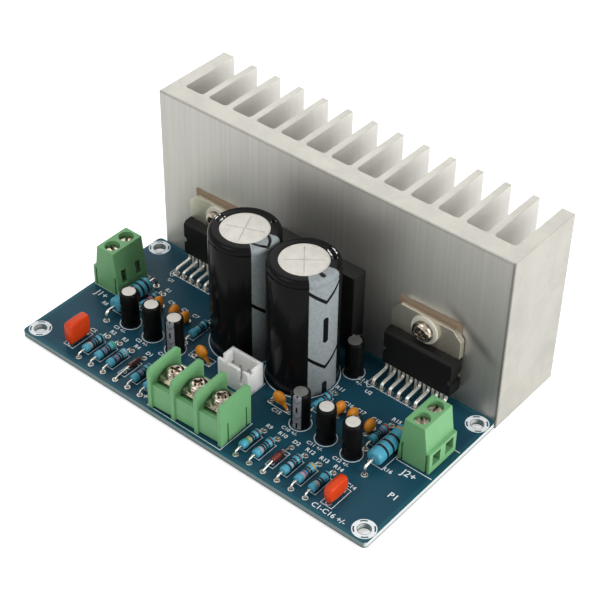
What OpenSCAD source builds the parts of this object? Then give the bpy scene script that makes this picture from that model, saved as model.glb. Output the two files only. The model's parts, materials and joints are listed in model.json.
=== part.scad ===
// Stereo audio amplifier board. Two amplifier chips and a bridge rectifier at the back edge of the
// circuit board are screwed to a finned heatsink; screw terminals, a signal header, capacitors,
// resistors and diodes stand on the board, with their leads soldered on its underside.
// Origin: centre of the four mounting holes on the underside of the board.
// X runs to the right, Y towards the heatsink, Z up. Millimetres.

/* [Board] */
// Length of the circuit board
board_w = 110; // [109:0.5:116]
// Depth of the circuit board
board_d = 50.5; // [50:0.5:54]
// Thickness of the circuit board
board_t = 1.6; // [1.2:0.1:2.4]
// Corner radius of the circuit board
board_corner_r = 1.2; // [0.4:0.1:2]
// Distance of the mounting holes from the ends of the board
hole_inset_x = 3; // [2.75:0.25:3.5]
// Distance of the mounting holes from the front and back edges of the board
hole_inset_y = 3.5; // [3.25:0.25:3.75]
// Diameter of the mounting holes
hole_d = 3.2; // [2.8:0.1:3.4]
// Height of the solder joints under the board
solder_h = 0.9; // [0.6:0.1:1.6]
// X of the line that the component layout is mirrored about
mid_x = -0.4; // [-0.8:0.1:0]

/* [Heatsink] */
// Length of the heatsink
sink_w = 107.6; // [104:0.2:112]
// Depth of the heatsink from its face to its fin tips
sink_d = 24.5; // [18:0.5:32]
// Height of the heatsink
sink_h = 50.4; // [40:0.2:60]
// Thickness of the heatsink base plate
sink_base_t = 5.7; // [5.4:0.1:8]
// Number of thin fins between the two end fins
fin_count = 12; // [8:1:14]
// Thickness of a thin fin
fin_t = 2; // [1.4:0.1:2.6]
// Thickness of an end fin
end_fin_t = 3.7; // [2.5:0.1:5]
// Corner radius at the root of the channels
root_r = 0.8; // [0.3:0.1:1.2]

/* [Amplifier chips] */
// X of the left chip
chip_left_x = -31.5; // [-33:0.1:-31]
// X of the right chip
chip_right_x = 34.2; // [33:0.1:35]
// Width of the moulding and of the metal tab
chip_w = 20; // [18.5:0.1:20.5]
// Height of the moulding
chip_h = 10.2; // [9:0.1:11]
// Thickness of the moulding in front of the tab
chip_t = 2.8; // [2.6:0.1:3.6]
// Height of the moulding's lower edge over the board
chip_lift = 4.6; // [4:0.1:6]
// Thickness of the metal tab
tab_t = 1.6; // [1.2:0.1:2]
// Height of the tab over the moulding
tab_rise = 7.6; // [7:0.1:9]
// Chamfer of the tab's upper corners
tab_chamfer = 2.4; // [1:0.1:3]
// Width of the moulding on each side of the tab
tab_wrap = 1.1; // [1:0.1:1.5]
// Height of the screw over the moulding
tab_screw_rise = 4; // [3.8:0.1:4.2]
// Number of leads on a chip
lead_count = 15; // [11:2:15]
// Lead pitch
lead_pitch = 1.27; // [1.2:0.01:1.27]
// Distance between the two rows of leads
lead_step = 5.4; // [4.8:0.1:6]
// Width of a lead
lead_w = 0.75; // [0.6:0.05:0.9]
// Thickness of a lead
lead_t = 0.5; // [0.4:0.05:0.6]
// Width of the insulating pad behind the tab
pad_w = 18; // [16:0.5:19.5]
// Height of the insulating pad over the tab
pad_over = 1.3; // [0.8:0.1:2]
// Thickness of the insulating pad
pad_t = 0.3; // [0.2:0.05:0.6]
// Tilt of the insulating pad about its screw
pad_tilt = 2; // [0:0.5:4]

/* [Fixing screws] */
// Diameter of the screw shank
fix_d = 2.9; // [2.5:0.1:3]
// Diameter of the pan head
fix_head_d = 5.6; // [5:0.1:6]
// Height of the pan head
fix_head_h = 1.7; // [1.4:0.1:2.4]
// Diameter of the bush flange
bush_d = 7.6; // [7:0.1:7.8]
// Thickness of the bush flange
bush_t = 0.8; // [0.6:0.1:1.2]

/* [Rectifier] */
// Width of the rectifier
rect_w = 30; // [28:0.5:31]
// Height of the rectifier
rect_h = 20; // [17:0.5:22]
// Thickness of the rectifier
rect_t = 4.6; // [4:0.1:5.4]
// Height of its lower edge over the board
rect_lift = 5; // [3:0.5:8]
// Chamfer of the upper corner that marks the positive lead
rect_chamfer = 3; // [1:0.5:5]

/* [Capacitors] */
// Diameter of a filter capacitor with its sleeve
filter_d = 18; // [16:0.1:18.2]
// Height of a filter capacitor
filter_h = 35.5; // [25:0.5:40]
// Gap between the two filter capacitors
filter_gap = 0.3; // [0.1:0.1:0.5]
// Thickness of the printed sleeve
sleeve_t = 0.25; // [0.15:0.05:0.4]
// Y of the filter capacitors
filter_y = 8.8; // [8.4:0.1:10]
// Diameter of a small capacitor
small_d = 4.8; // [4:0.1:5.2]
// Height of a small capacitor
small_h = 10.4; // [7:0.1:12.5]
// Y of the row of small capacitors
small_y = -5.3; // [-5.8:0.1:-5]
// Length of a film capacitor
film_l = 7.2; // [6.4:0.1:7.6]
// Width of a film capacitor
film_w = 2.8; // [2.6:0.1:3.4]
// Height of the left film capacitor
film_left_h = 6.4; // [4.4:0.1:9]
// Height of the right film capacitor
film_right_h = 4.9; // [4.4:0.1:9]
// Diameter of a ceramic capacitor
disc_d = 3.6; // [3:0.1:4]
// Thickness of a ceramic capacitor
disc_t = 2.4; // [1.6:0.1:2.5]

/* [Resistors and diodes] */
// Pitch of the front row
row_pitch = 4.2; // [3.9:0.05:4.2]
// Distance of the innermost resistor from the middle line
row_start = 15.45; // [15.2:0.05:15.6]
// Hole spacing of a resistor
lead_span = 10.16; // [9:0.02:10.5]
// Length of a resistor
res_l = 6.3; // [5.5:0.1:6.8]
// Diameter of a resistor
res_d = 2.2; // [1.8:0.1:2.5]
// Length of a power resistor
power_l = 12.2; // [9:0.1:13]
// Diameter of a power resistor
power_d = 4.2; // [3.5:0.1:4.8]
// Hole spacing of a power resistor
power_span = 18.2; // [16:0.1:18.6]
// Length of a diode
diode_l = 3.6; // [3:0.1:4]
// Diameter of a diode
diode_d = 1.6; // [1.4:0.1:2]
// Diameter of the component leads
wire_d = 0.55; // [0.4:0.05:0.7]

/* [Signal header] */
// Width of the header
header_w = 9.8; // [9.4:0.1:10.4]
// Depth of the header
header_d = 5.75; // [5.5:0.05:6.2]
// Height of the header
header_h = 7; // [6:0.1:9]
// Wall thickness of the header
header_wall = 0.85; // [0.6:0.05:1]
// Pin pitch
header_pitch = 2.5; // [2.3:0.01:2.54]
// Width of a square pin
pin_w = 0.64; // [0.5:0.02:0.7]
// Y of the header
header_y = -3.7; // [-4.2:0.1:-3.4]

/* [Output terminals] */
// Distance of an output terminal from the middle between the two
out_x = 49; // [48.8:0.1:49.2]
// Y of the left output terminal
out_left_y = 5.2; // [4.5:0.1:6.5]
// Y of the right output terminal
out_right_y = 6; // [4.5:0.1:6.5]
// Pole pitch
pole_pitch = 5.08; // [5:0.02:5.2]
// Height of an output terminal
out_h = 13.2; // [13:0.1:14]
// Width of its top
out_top_w = 5.6; // [5.4:0.1:6]
// Travel of the clamp cage
cage_travel = 2.5; // [1.5:0.1:2.5]
// Diameter of the clamp screw
clamp_d = 2.5; // [2:0.1:2.5]
// Diameter of the clamp screw head
clamp_head_d = 3.7; // [3.2:0.1:3.8]

/* [Supply terminal] */
// Pole pitch of the supply terminal
strip_pitch = 7.15; // [7:0.05:7.62]
// Depth of the supply terminal
strip_d = 11.2; // [10:0.1:11.4]
// Height of its walls
strip_h = 12.2; // [11:0.1:14]
// Height of the blocks between the walls
block_h = 7.5; // [7:0.1:8]
// Thickness of the walls
strip_wall = 1.1; // [0.8:0.05:1.2]
// Distance of the middle of the supply terminal from the front edge of the board
strip_inset = 6.75; // [6.55:0.05:7.05]
// Turn of the supply terminal on the board
strip_turn = 2.5; // [0:0.1:3]
// Travel of its screws
screw_travel = 2.4; // [1:0.1:3]
// Diameter of its screws
strip_screw_d = 3; // [2.5:0.1:3.2]
// Diameter of their heads
strip_head_d = 5; // [4.6:0.1:5.2]

/* [Hidden] */
$fn = 48;
eps = 0.01;
sides = [-1, 1];
fit_gap = 0.05;                               // radial running fit of a screw in its thread
bore_gap = 0.3;                               // bore diameter over the diameter of a free screw
drill_gap = 0.3;                              // drill diameter over lead diameter
hole_span_x = board_w - 2 * hole_inset_x;
hole_span_y = board_d - 2 * hole_inset_y;
solder_tip = 0.9;                             // tip of a solder joint over lead diameter
solder_rim = 0.8;                             // rim of a solder joint beyond the lead
face_y = board_d / 2;                         // heatsink face against the board's back edge
sink_right = board_w / 2;
sink_left = sink_right - sink_w;
sink_z = -solder_h;
channel_w = (sink_w - 2 * end_fin_t - fin_count * fin_t) / (fin_count + 1);

chip_xs = [chip_left_x, chip_right_x];
tab_back_y = face_y - pad_t;
tab_front_y = tab_back_y - tab_t;
chip_z = board_t + chip_lift;
chip_top_z = chip_z + chip_h;
tab_screw_z = chip_top_z + tab_screw_rise;
lead_back_y = tab_front_y - chip_t * 0.42;
lead_front_y = lead_back_y - lead_step;
lead_exit_h = 2.9;                            // straight length of a front lead under the moulding
lead_drop = 0.4;                              // fall of a front lead between its bends
lead_shift = -0.7;                            // middle of the leads from the middle of the moulding
tab_foot = 1;                                 // lower edge of the tab over that of the moulding
fix_wall = 0.9;                               // metal left behind a threaded hole in the heatsink
fix_depth = sink_base_t - fix_wall;
fix_tip_gap = 0.3;                            // free depth beyond the tip of a fixing screw
bush_wall = 0.4;
bush_neck_d = fix_d + 2 * bush_wall;

rect_z = board_t + rect_lift;
rect_screw_z = rect_z + rect_h * 0.6;
rect_front_y = face_y - rect_t;
rect_lead_y = face_y - rect_t * 0.55;
rect_lead_xs = [for (o = [-0.417, -0.167, 0.083, 0.417]) mid_x + o * rect_w];
rect_lead_w = 1;

filter_off = (filter_d + filter_gap) / 2;
filter_span = filter_d * 0.417;
filter_lead_d = 0.8;
filter_disc_r = filter_d * 0.342;
filter_edge_r = 1;
small_offs = [20.3, 28.05, 35.8];             // offsets of the small capacitors from the middle line
small_span = small_d * 0.4;
filter_turns = [23, 39];                      // turn of the vent lines of each can
crimp_z = 1.2;                                // start of the crimp ring over the foot
crimp_h = 0.8;
crimp_depth = 0.1;
supply_off = 18.8;                            // the small capacitor beside each chip
supply_y = face_y - 8.25;
film_off = 41.5;
film_y = -board_d / 2 + 6.95;
film_lift = 0.4;
film_span = film_l * 0.7;
// offset, Y, turn, hole spacing and height over the board of each ceramic capacitor of one channel
disc_spots = [[34.4, 3.3, 90, 2.54, 0.1], [29, 3.6, 90, 2.54, 0.1],
              [25.3, 3.4, 90, 2.54, 0.1], [12.6, -4, 0, 5.08, 0.9]];

row_count = 6;
diode_i = 2;
diode_shifts = [1.6, 0];                      // how far each diode sits behind the middle of its leads
row_y = -board_d / 2 + 2.25 + lead_span / 2;
mid_res_offs = [20.1, 37.3];                  // resistors behind the small capacitors
mid_res_y = small_y + small_d / 2 + 0.9 + lead_span / 2;
power_offs = [41.1, 42.2];                    // left and right power resistor
power_y = 0.45;
power_lift = 0.6;
power_wire_d = 0.8;
res_lift = 0.1;

header_floor = 1.6;
pin_h = header_h - header_floor;
pin_clear = 0.02;
key_slot_w = 1.2;
key_slot_z = header_floor + 1;                // lower end of the key slots in the front wall
end_notch_h = 1.4;

out_mid_x = mid_x - 0.3;
out_ys = [out_left_y, out_right_y];
out_l = 2 * pole_pitch + 0.4;
out_ledge_z = 6.2;
out_ledge_rise = 0.2;                         // slope of the ledge over the wire entries
out_ledge_w = 1.05;
out_foot_h = 1.5;                             // upright foot of the inner side
out_base_in = out_top_w / 2 + 1.4;
out_base_out = out_top_w / 2 + 2;
out_groove = [0.5, 0.6, out_ledge_z - 0.6];   // grooves up the front end
out_groove_us = [0.9 - out_base_in, out_base_out - 1.2];
window_w = 1.8;                               // windows in the inner side
window_z = [2.9, 7.1];
shoulder_z = out_h - 2.8;                     // underside of the shoulder that carries a clamp screw
shoulder_t = 0.6;
clamp_head_h = 1.1;
chamber_u = [-2.1, 2.2];
chamber_w = 4;
cage_u = [-1.9, 2];
cage_w = 3.7;
cage_z = 1;
cage_floor = 0.7;
cage_side = 0.55;
nut_t = 1.3;
nut_z = shoulder_z - 0.3 - cage_travel - nut_t;  // underside of the nut with the clamp open
tongue_t = 0.8;
tongue_z = nut_z - 0.3 - tongue_t;
tongue_w = cage_w - 2 * cage_side - 0.4;
contact_u = -2.4;                             // inner face of the upright contact strip
contact_t = 0.6;
contact_pin_w = 0.9;
contact_pin_h = 1;                            // where the strip widens from its pin
tongue_u = 1.6;                               // free end of the tongue
clamp_tip_gap = 0.2;
clamp_slot_w = 0.7;
clamp_slot_h = 0.55;
clamp_turns = [[20, 50], [130, 100]];         // rest turn of each clamp screw, by side and pole
wire_w = 3;
wire_h = 3.7;

strip_y = strip_inset - board_d / 2;
strip_n = 3;
strip_l = strip_n * strip_pitch + strip_wall;
room_w = strip_pitch - strip_wall;            // clear width between two walls
block_set = 0.5;                              // set-back of a block behind the wall edges
block_foot = 0.6;                             // gap under a block between the feet of the walls
wall_r = 1.3;
end_groove = [0.45, 0.5, block_h - 1.5];      // grooves up the end walls
end_groove_ys = [-3.2, 3.6];
plate_slot = 0.6;                             // slot in front of a contact plate
plate_t = 0.8;
plate_z = block_h - 0.3;
plate_y = [-3.3, 4.1];
plate_w = room_w - 0.6;
washer_t = 0.6;
washer_w = room_w - 0.5;
washer_z = plate_z + plate_t;
head_z = washer_z + washer_t;
strip_head_h = 1.7;
shank_z = 3.2;
shank_gap = 0.6;                              // free depth under a screw
strip_pin_y = 3.5;
strip_pin_w = 0.9;

function side_x(s, off) = mid_x + s * off;
function out_at_x(side) = out_mid_x + sides[side] * out_x;
function pole_y(side, pole) = out_ys[side] + (pole - 0.5) * pole_pitch;
function strip_off(pole) = (pole - (strip_n - 1) / 2) * strip_pitch;
// a point of the turned supply terminal on the board
function strip_xy(x, y) = [mid_x + x * cos(strip_turn) - y * sin(strip_turn),
                           strip_y + x * sin(strip_turn) + y * cos(strip_turn)];
function arc(cx, cy, r, a0, a1, n) = [for (i = [0 : n]) let (a = a0 + (a1 - a0) * i / n)
                                      [cx + r * cos(a), cy + r * sin(a)]];
function lead_x(side, i) = chip_xs[side] + lead_shift + (i - (lead_count - 1) / 2) * lead_pitch;
function row_spots(s) = [for (i = [0 : row_count - 1]) if (i != diode_i)
                         [side_x(s, row_start + i * row_pitch), row_y]];
function res_spots(s) = concat(row_spots(s), [for (o = mid_res_offs) [side_x(s, o), mid_res_y]]);
function power_spot(side) = [side_x(sides[side], power_offs[side]), power_y];
function diode_spot(s) = [side_x(s, row_start + diode_i * row_pitch), row_y];
function round_spots(s) = concat([for (o = small_offs) [side_x(s, o), small_y]],
                                 [[side_x(s, supply_off), supply_y]]);
function pair_x(p, span, d) = [for (k = sides) [p[0] + k * span / 2, p[1], d]];
function pair_y(p, span, d) = [for (k = sides) [p[0], p[1] + k * span / 2, d]];
function flat(v) = [for (a = v) each a];

// X, Y and lead diameter of every soldered hole
drills = concat(
    flat([for (s = sides, p = res_spots(s)) pair_y(p, lead_span, wire_d)]),
    flat([for (s = sides) pair_y(diode_spot(s), lead_span, wire_d)]),
    flat([for (side = [0, 1]) pair_y(power_spot(side), power_span, power_wire_d)]),
    flat([for (s = sides) pair_y([side_x(s, film_off), film_y], film_span, wire_d)]),
    flat([for (s = sides, p = round_spots(s)) pair_x(p, small_span, wire_d)]),
    flat([for (s = sides) pair_x([side_x(s, filter_off), filter_y], filter_span, filter_lead_d)]),
    flat([for (s = sides, p = disc_spots) p[2] == 0
          ? pair_x([side_x(s, p[0]), p[1]], p[3], wire_d)
          : pair_y([side_x(s, p[0]), p[1]], p[3], wire_d)]),
    [for (side = [0, 1], i = [0 : lead_count - 1])
     [lead_x(side, i), i % 2 == 0 ? lead_front_y : lead_back_y, norm([lead_w, lead_t])]],
    [for (x = rect_lead_xs) [x, rect_lead_y, norm([rect_lead_w, lead_t])]],
    [for (i = [-1 : 1]) [mid_x + i * header_pitch, header_y, norm([pin_w, pin_w])]],
    [for (side = [0, 1], pole = [0, 1])
     [out_at_x(side) + sides[side] * (contact_u - contact_t / 2), pole_y(side, pole),
      norm([contact_pin_w, contact_t])]],
    [for (pole = [0 : strip_n - 1]) let (p = strip_xy(strip_off(pole), strip_pin_y))
     [p[0], p[1], norm([strip_pin_w, strip_pin_w])]]);

module rounded_plate(w, d, r) {
    square([w - 2 * r, d], center = true);
    square([w, d - 2 * r], center = true);
    for (x = sides, y = sides) translate([x * (w / 2 - r), y * (d / 2 - r)]) circle(r);
}

// a box between two corners
module span_box(a, b) {
    translate(a) cube(b - a);
}

// turns what is drawn along Z so that it points along -Y, with its foot at the origin
module to_front() {
    rotate([90, 0, 0]) children();
}

module wire(d, z0, z1) {
    translate([0, 0, z0]) cylinder(d = d, h = z1 - z0, $fn = 20);
}

module circuit_board() {
    color([0.08, 0.22, 0.32]) linear_extrude(board_t) difference() {
        rounded_plate(board_w, board_d, board_corner_r);
        for (x = sides, y = sides) translate([x * hole_span_x / 2, y * hole_span_y / 2]) circle(d = hole_d);
        for (d = drills) translate([d[0], d[1]]) circle(d = d[2] + drill_gap, $fn = 24);
    }
}

module solder_joints() {
    color([0.75, 0.75, 0.75]) for (d = drills) translate([d[0], d[1], -solder_h])
        cylinder(h = solder_h, d1 = d[2] * solder_tip, d2 = d[2] + solder_rim, $fn = 20);
}

// profile of one channel between two fins, with rounded root corners
module channel() {
    depth = sink_d - sink_base_t;
    translate([0, root_r]) square([channel_w, depth + eps]);
    translate([root_r, 0]) square([channel_w - 2 * root_r, root_r + eps]);
    for (x = [root_r, channel_w - root_r]) translate([x, root_r]) circle(root_r);
}

module heatsink() {
    color([0.78, 0.77, 0.75]) difference() {
        translate([0, 0, sink_z]) linear_extrude(sink_h) difference() {
            translate([sink_left, face_y]) square([sink_w, sink_d]);
            for (i = [0 : fin_count])
                translate([sink_left + end_fin_t + i * (channel_w + fin_t), face_y + sink_base_t])
                    channel();
        }
        for (p = concat([for (x = chip_xs) [x, tab_screw_z]], [[mid_x, rect_screw_z]]))
            translate([p[0], face_y + fix_depth, p[1]]) to_front()
                cylinder(d = fix_d + 2 * fit_gap, h = fix_depth + eps);
    }
}

// cross recess in the top of a screw head
module cross_recess(r, depth, w) {
    for (a = [0, 90]) rotate(a) translate([-r, -w / 2, -depth]) cube([2 * r, w, depth + eps]);
}

// pan head with its underside at the origin, growing along Z
module pan_head(d, h) {
    flat_r = d * 0.28;
    rim_h = h * 0.35;
    slot_w = d * 0.15;
    slot_h = h * 0.5;
    dome = [for (a = [15 : 15 : 75]) [flat_r + (d / 2 - flat_r) * cos(a), rim_h + (h - rim_h) * sin(a)]];
    difference() {
        rotate_extrude()
            polygon(concat([[0, 0], [d / 2, 0], [d / 2, rim_h]], dome, [[flat_r, h], [0, h]]));
        translate([0, 0, h]) cross_recess(flat_r, slot_h, slot_w);
    }
}

// a fixing screw whose head seats on the plane y and whose shank reaches into the heatsink
module fixing_screw(x, y, z) {
    shank_l = face_y + fix_depth - fix_tip_gap - y;
    translate([x, y, z]) {
        to_front() pan_head(fix_head_d, fix_head_h);
        translate([0, shank_l, 0]) to_front() cylinder(d = fix_d, h = shank_l);
    }
}

module heatsink_screws() {
    color([0.75, 0.74, 0.72]) {
        for (x = chip_xs) fixing_screw(x, tab_front_y - bush_t, tab_screw_z);
        fixing_screw(mid_x, rect_front_y, rect_screw_z);
    }
}

module screw_bushes() {
    color([0.9, 0.9, 0.86]) for (x = chip_xs) translate([x, tab_back_y, tab_screw_z]) to_front()
      difference() {
        union() {
            cylinder(d = bush_neck_d, h = tab_t + eps);
            translate([0, 0, tab_t]) cylinder(d = bush_d, h = bush_t);
        }
        translate([0, 0, -eps]) cylinder(d = fix_d + 2 * fit_gap, h = tab_t + bush_t + 2 * eps);
    }
}

module insulating_pad(side) {
    pad_h = chip_h + tab_rise + pad_over;
    color([0.62, 0.5, 0.44]) translate([chip_xs[side], face_y, tab_screw_z])
        rotate([0, -pad_tilt, 0]) to_front() linear_extrude(pad_t) difference() {
            translate([-pad_w / 2, tab_rise - tab_screw_rise + pad_over - pad_h]) square([pad_w, pad_h]);
            circle(d = bush_neck_d);
        }
}

// metal tab, narrower where the moulding wraps it
module chip_tab(side) {
    half = chip_w / 2;
    foot = half - tab_wrap;
    top = chip_h + tab_rise;
    color([0.72, 0.72, 0.7]) translate([chip_xs[side], tab_back_y, chip_z]) to_front()
        linear_extrude(tab_t) difference() {
            polygon([[-foot, tab_foot], [foot, tab_foot], [foot, chip_h], [half, chip_h],
                     [half, top - tab_chamfer], [half - tab_chamfer, top], [tab_chamfer - half, top],
                     [-half, top - tab_chamfer], [-half, chip_h], [-foot, chip_h]]);
            translate([0, chip_h + tab_screw_rise]) circle(d = bush_neck_d + 2 * fit_gap);
        }
}

// black moulding round the foot of the tab, with a sloped upper edge and a half-round notch at each side
module chip_moulding(side) {
    notch_r = 0.9;
    notch_z = chip_h * 0.42;
    slope = 0.8;
    foot = chip_w / 2 - tab_wrap;
    color([0.07, 0.07, 0.07]) translate([chip_xs[side], tab_front_y, chip_z]) difference() {
        rotate([90, 0, -90]) translate([0, 0, -chip_w / 2]) linear_extrude(chip_w)
            polygon([[-tab_t, 0], [chip_t, 0], [chip_t, chip_h - slope], [chip_t - slope, chip_h],
                     [-tab_t, chip_h]]);
        span_box([-foot, 0, tab_foot], [foot, tab_t + eps, chip_h + eps]);
        for (s = sides) translate([s * chip_w / 2, tab_t + eps, notch_z]) to_front()
            cylinder(r = notch_r, h = chip_t + tab_t + 2 * eps);
    }
}

// side view of a lead that is bent forward under the moulding and down again into the front row
module front_lead() {
    t = lead_t / 2;
    high = chip_z - lead_exit_h;
    low = high - lead_drop;
    polygon([
        [lead_front_y - t, 0], [lead_front_y + t, 0], [lead_front_y + t, low - t], [lead_back_y + t, high - t],
        [lead_back_y + t, chip_z], [lead_back_y - t, chip_z], [lead_back_y - t, high + t],
        [lead_front_y - t, low + t]]);
}

// side view of a lead that runs straight down into the back row
module back_lead() {
    translate([lead_back_y - lead_t / 2, 0]) square([lead_t, chip_z]);
}

// the leads leave the moulding in one line, and every other one is bent to the front row
module chip_leads(side) {
    color([0.8, 0.8, 0.78]) for (i = [0 : lead_count - 1])
        translate([lead_x(side, i) - lead_w / 2, 0, 0]) rotate([90, 0, 90]) linear_extrude(lead_w)
            if (i % 2 == 0) front_lead(); else back_lead();
}

module rectifier_body() {
    half = rect_w / 2;
    color([0.08, 0.08, 0.08]) translate([mid_x, face_y, rect_z]) to_front() linear_extrude(rect_t)
      difference() {
        polygon([[-half, 0], [half, 0], [half, rect_h], [rect_chamfer - half, rect_h],
                 [-half, rect_h - rect_chamfer]]);
        translate([0, rect_screw_z - rect_z]) circle(d = fix_d + bore_gap);
    }
}

module rectifier_leads() {
    color([0.8, 0.8, 0.78]) for (x = rect_lead_xs)
        span_box([x - rect_lead_w / 2, rect_lead_y - lead_t / 2, 0],
                 [x + rect_lead_w / 2, rect_lead_y + lead_t / 2, rect_z]);
}

// aluminium can with its leads; the vent lines are pressed into its top
module filter_can(s) {
    r = filter_d / 2 - sleeve_t;
    top = filter_h - sleeve_t;
    score = 0.15;
    score_l = filter_disc_r * 0.8;
    turn = filter_turns[s > 0 ? 1 : 0];
    color([0.83, 0.82, 0.8]) translate([side_x(s, filter_off), filter_y, 0]) {
        translate([0, 0, board_t]) difference() {
            rotate_extrude($fn = 64) polygon(concat([[0, 0], [r, 0]],
                arc(r - filter_edge_r, top - filter_edge_r, filter_edge_r, 0, 90, 5), [[0, top]]));
            for (a = [0, 90]) rotate(a + turn) translate([-score_l, -score, top - score])
                cube([2 * score_l, 2 * score, 2 * score]);
        }
        for (k = sides) translate([k * filter_span / 2, 0, 0]) wire(filter_lead_d, 0, board_t + eps);
    }
}

// shrunk sleeve that wraps the can's side, shoulder and rim
module filter_sleeve(s) {
    r = filter_d / 2 - sleeve_t;
    top = filter_h - sleeve_t;
    cx = r - filter_edge_r;
    cy = top - filter_edge_r;
    color([0.06, 0.06, 0.07]) translate([side_x(s, filter_off), filter_y, board_t])
        rotate_extrude($fn = 64) polygon(concat([[r, 0], [r + sleeve_t, 0]],
            arc(cx, cy, filter_edge_r + sleeve_t, 0, 90, 5),
            [[filter_disc_r, filter_h], [filter_disc_r, top]],
            arc(cx, cy, filter_edge_r, 90, 0, 5)));
}

// small electrolytic capacitor with a crimp ring near its foot and a sunk top
module small_capacitor(spot) {
    r = small_d / 2;
    foot_e = 0.2;
    edge = 0.5;
    disc_r = r - edge - 0.3;
    sink = 0.15;
    color([0.08, 0.08, 0.09]) translate([spot[0], spot[1], 0]) {
        translate([0, 0, board_t]) rotate_extrude() polygon(concat(
            [[0, 0], [r - foot_e, 0], [r, foot_e], [r, crimp_z], [r - crimp_depth, crimp_z + crimp_h * 0.4],
             [r - crimp_depth, crimp_z + crimp_h * 0.6], [r, crimp_z + crimp_h]],
            arc(r - edge, small_h - edge, edge, 0, 90, 4),
            [[disc_r, small_h], [disc_r, small_h - sink], [0, small_h - sink]]));
        for (k = sides) translate([k * small_span / 2, 0, 0]) wire(wire_d, 0, board_t + eps);
    }
}

module film_capacitor(side) {
    r = film_w * 0.42;
    h = [film_left_h, film_right_h][side];
    color([0.85, 0.27, 0.12]) translate([side_x(sides[side], film_off), film_y, 0]) {
        translate([0, 0, board_t + film_lift]) hull()
            for (x = sides, y = sides, z = [r, h - r])
                translate([x * (film_w / 2 - r), y * (film_l / 2 - r), z]) sphere(r, $fn = 20);
        for (k = sides) translate([0, k * film_span / 2, 0]) wire(wire_d, 0, board_t + film_lift + r);
    }
}

// dipped ceramic capacitor on two legs that spread to its holes
module ceramic_capacitor(span, lift) {
    knee_z = board_t + 0.35;
    knee_d = wire_d * 1.1;
    root_z = board_t + lift + disc_d * 0.3;
    root_x = disc_d * 0.22;
    reach = span / 2 - root_x;
    translate([0, 0, board_t + lift + disc_d / 2]) to_front() rotate_extrude()
        polygon([for (a = [-90 : 15 : 90]) [disc_d / 2 * cos(a), disc_t / 2 * sin(a)]]);
    for (k = sides) {
        translate([k * span / 2, 0, 0]) wire(wire_d, 0, knee_z);
        translate([k * span / 2, 0, knee_z]) sphere(d = knee_d, $fn = 20);
        translate([k * span / 2, 0, knee_z]) rotate([0, -k * atan2(reach, root_z - knee_z), 0])
            wire(wire_d, 0, norm([reach, root_z - knee_z]));
    }
}

module ceramic_capacitors(s) {
    color([0.85, 0.5, 0.15]) for (p = disc_spots)
        translate([side_x(s, p[0]), p[1], 0]) rotate(p[2]) ceramic_capacitor(p[3], p[4]);
}

// the two bent leads of a part that lies along Y at height z, shifted from the middle of its holes
module axial_leads(span, body_l, z, d, shift = 0) {
    bend = d * 1.2;
    for (k = sides) rotate(k > 0 ? 0 : 180) {
        start = body_l / 2 + k * shift - eps;
        translate([0, start, z]) rotate([-90, 0, 0]) wire(d, 0, span / 2 - bend - start);
        translate([0, span / 2 - bend, z - bend]) rotate([90, 0, 90]) rotate_extrude(angle = 90, $fn = 40)
            translate([bend, 0]) circle(d = d, $fn = 20);
        translate([0, span / 2, 0]) wire(d, 0, z - bend);
    }
}

// resistor body along Y: two caps joined by a slimmer middle
module resistor_body(l, d, waist) {
    cap = l * 0.24;
    e = d * 0.14;
    rotate([-90, 0, 0]) translate([0, 0, -l / 2]) rotate_extrude() polygon([
        [0, 0], [d / 2 - e, 0], [d / 2, e], [d / 2, cap - e], [d / 2 * waist, cap + e],
        [d / 2 * waist, l - cap - e], [d / 2, l - cap + e], [d / 2, l - e], [d / 2 - e, l], [0, l]]);
}

module resistors(s) {
    z = board_t + res_lift + res_d / 2;
    color([0.3, 0.62, 0.8]) for (p = res_spots(s)) translate([p[0], p[1], 0]) {
        translate([0, 0, z]) resistor_body(res_l, res_d, 0.82);
        axial_leads(lead_span, res_l, z, wire_d);
    }
}

module power_resistor(side) {
    z = board_t + power_lift + power_d / 2;
    color([0.3, 0.62, 0.8]) translate(concat(power_spot(side), [0])) {
        translate([0, 0, z]) resistor_body(power_l, power_d, 0.94);
        axial_leads(power_span, power_l, z, power_wire_d);
    }
}

module diode(side) {
    z = board_t + res_lift + diode_d / 2;
    color([0.7, 0.25, 0.15]) translate(concat(diode_spot(sides[side]), [0])) {
        translate([0, diode_shifts[side], z]) resistor_body(diode_l, diode_d, 1);
        axial_leads(lead_span, diode_l, z, wire_d, diode_shifts[side]);
    }
}

// open-topped housing; the front wall has two key slots and the end walls a notch each
module header_housing() {
    inner = [header_w - 2 * header_wall, header_d - 2 * header_wall];
    color([0.85, 0.84, 0.8]) translate([mid_x, header_y, board_t]) difference() {
        translate([-header_w / 2, -header_d / 2, 0]) cube([header_w, header_d, header_h]);
        translate([-inner[0] / 2, -inner[1] / 2, header_floor]) cube([inner[0], inner[1], header_h]);
        for (k = sides) translate([k * header_pitch - key_slot_w / 2, -header_d / 2 - eps, key_slot_z])
            cube([key_slot_w, header_wall + 2 * eps, header_h]);
        for (k = sides) translate([k * (header_w - header_wall) / 2 - header_wall / 2 - eps, -inner[1] / 2,
                                   header_h - end_notch_h])
            cube([header_wall + 2 * eps, key_slot_w, header_h]);
        for (i = [-1 : 1]) translate([i * header_pitch, 0, header_floor / 2])
            cube([pin_w + pin_clear, pin_w + pin_clear, header_floor + 2 * eps], center = true);
    }
}

module header_pins() {
    color([0.8, 0.79, 0.74]) for (i = [-1 : 1]) translate([mid_x + i * header_pitch, header_y, 0])
        translate([-pin_w / 2, -pin_w / 2, 0]) cube([pin_w, pin_w, board_t + pin_h]);
}

// places a piece of an output terminal; its X points outwards over the board's end
module at_output(side) {
    translate([out_at_x(side), out_ys[side], board_t])
        mirror([side == 0 ? 1 : 0, 0, 0]) children();
}

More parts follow.
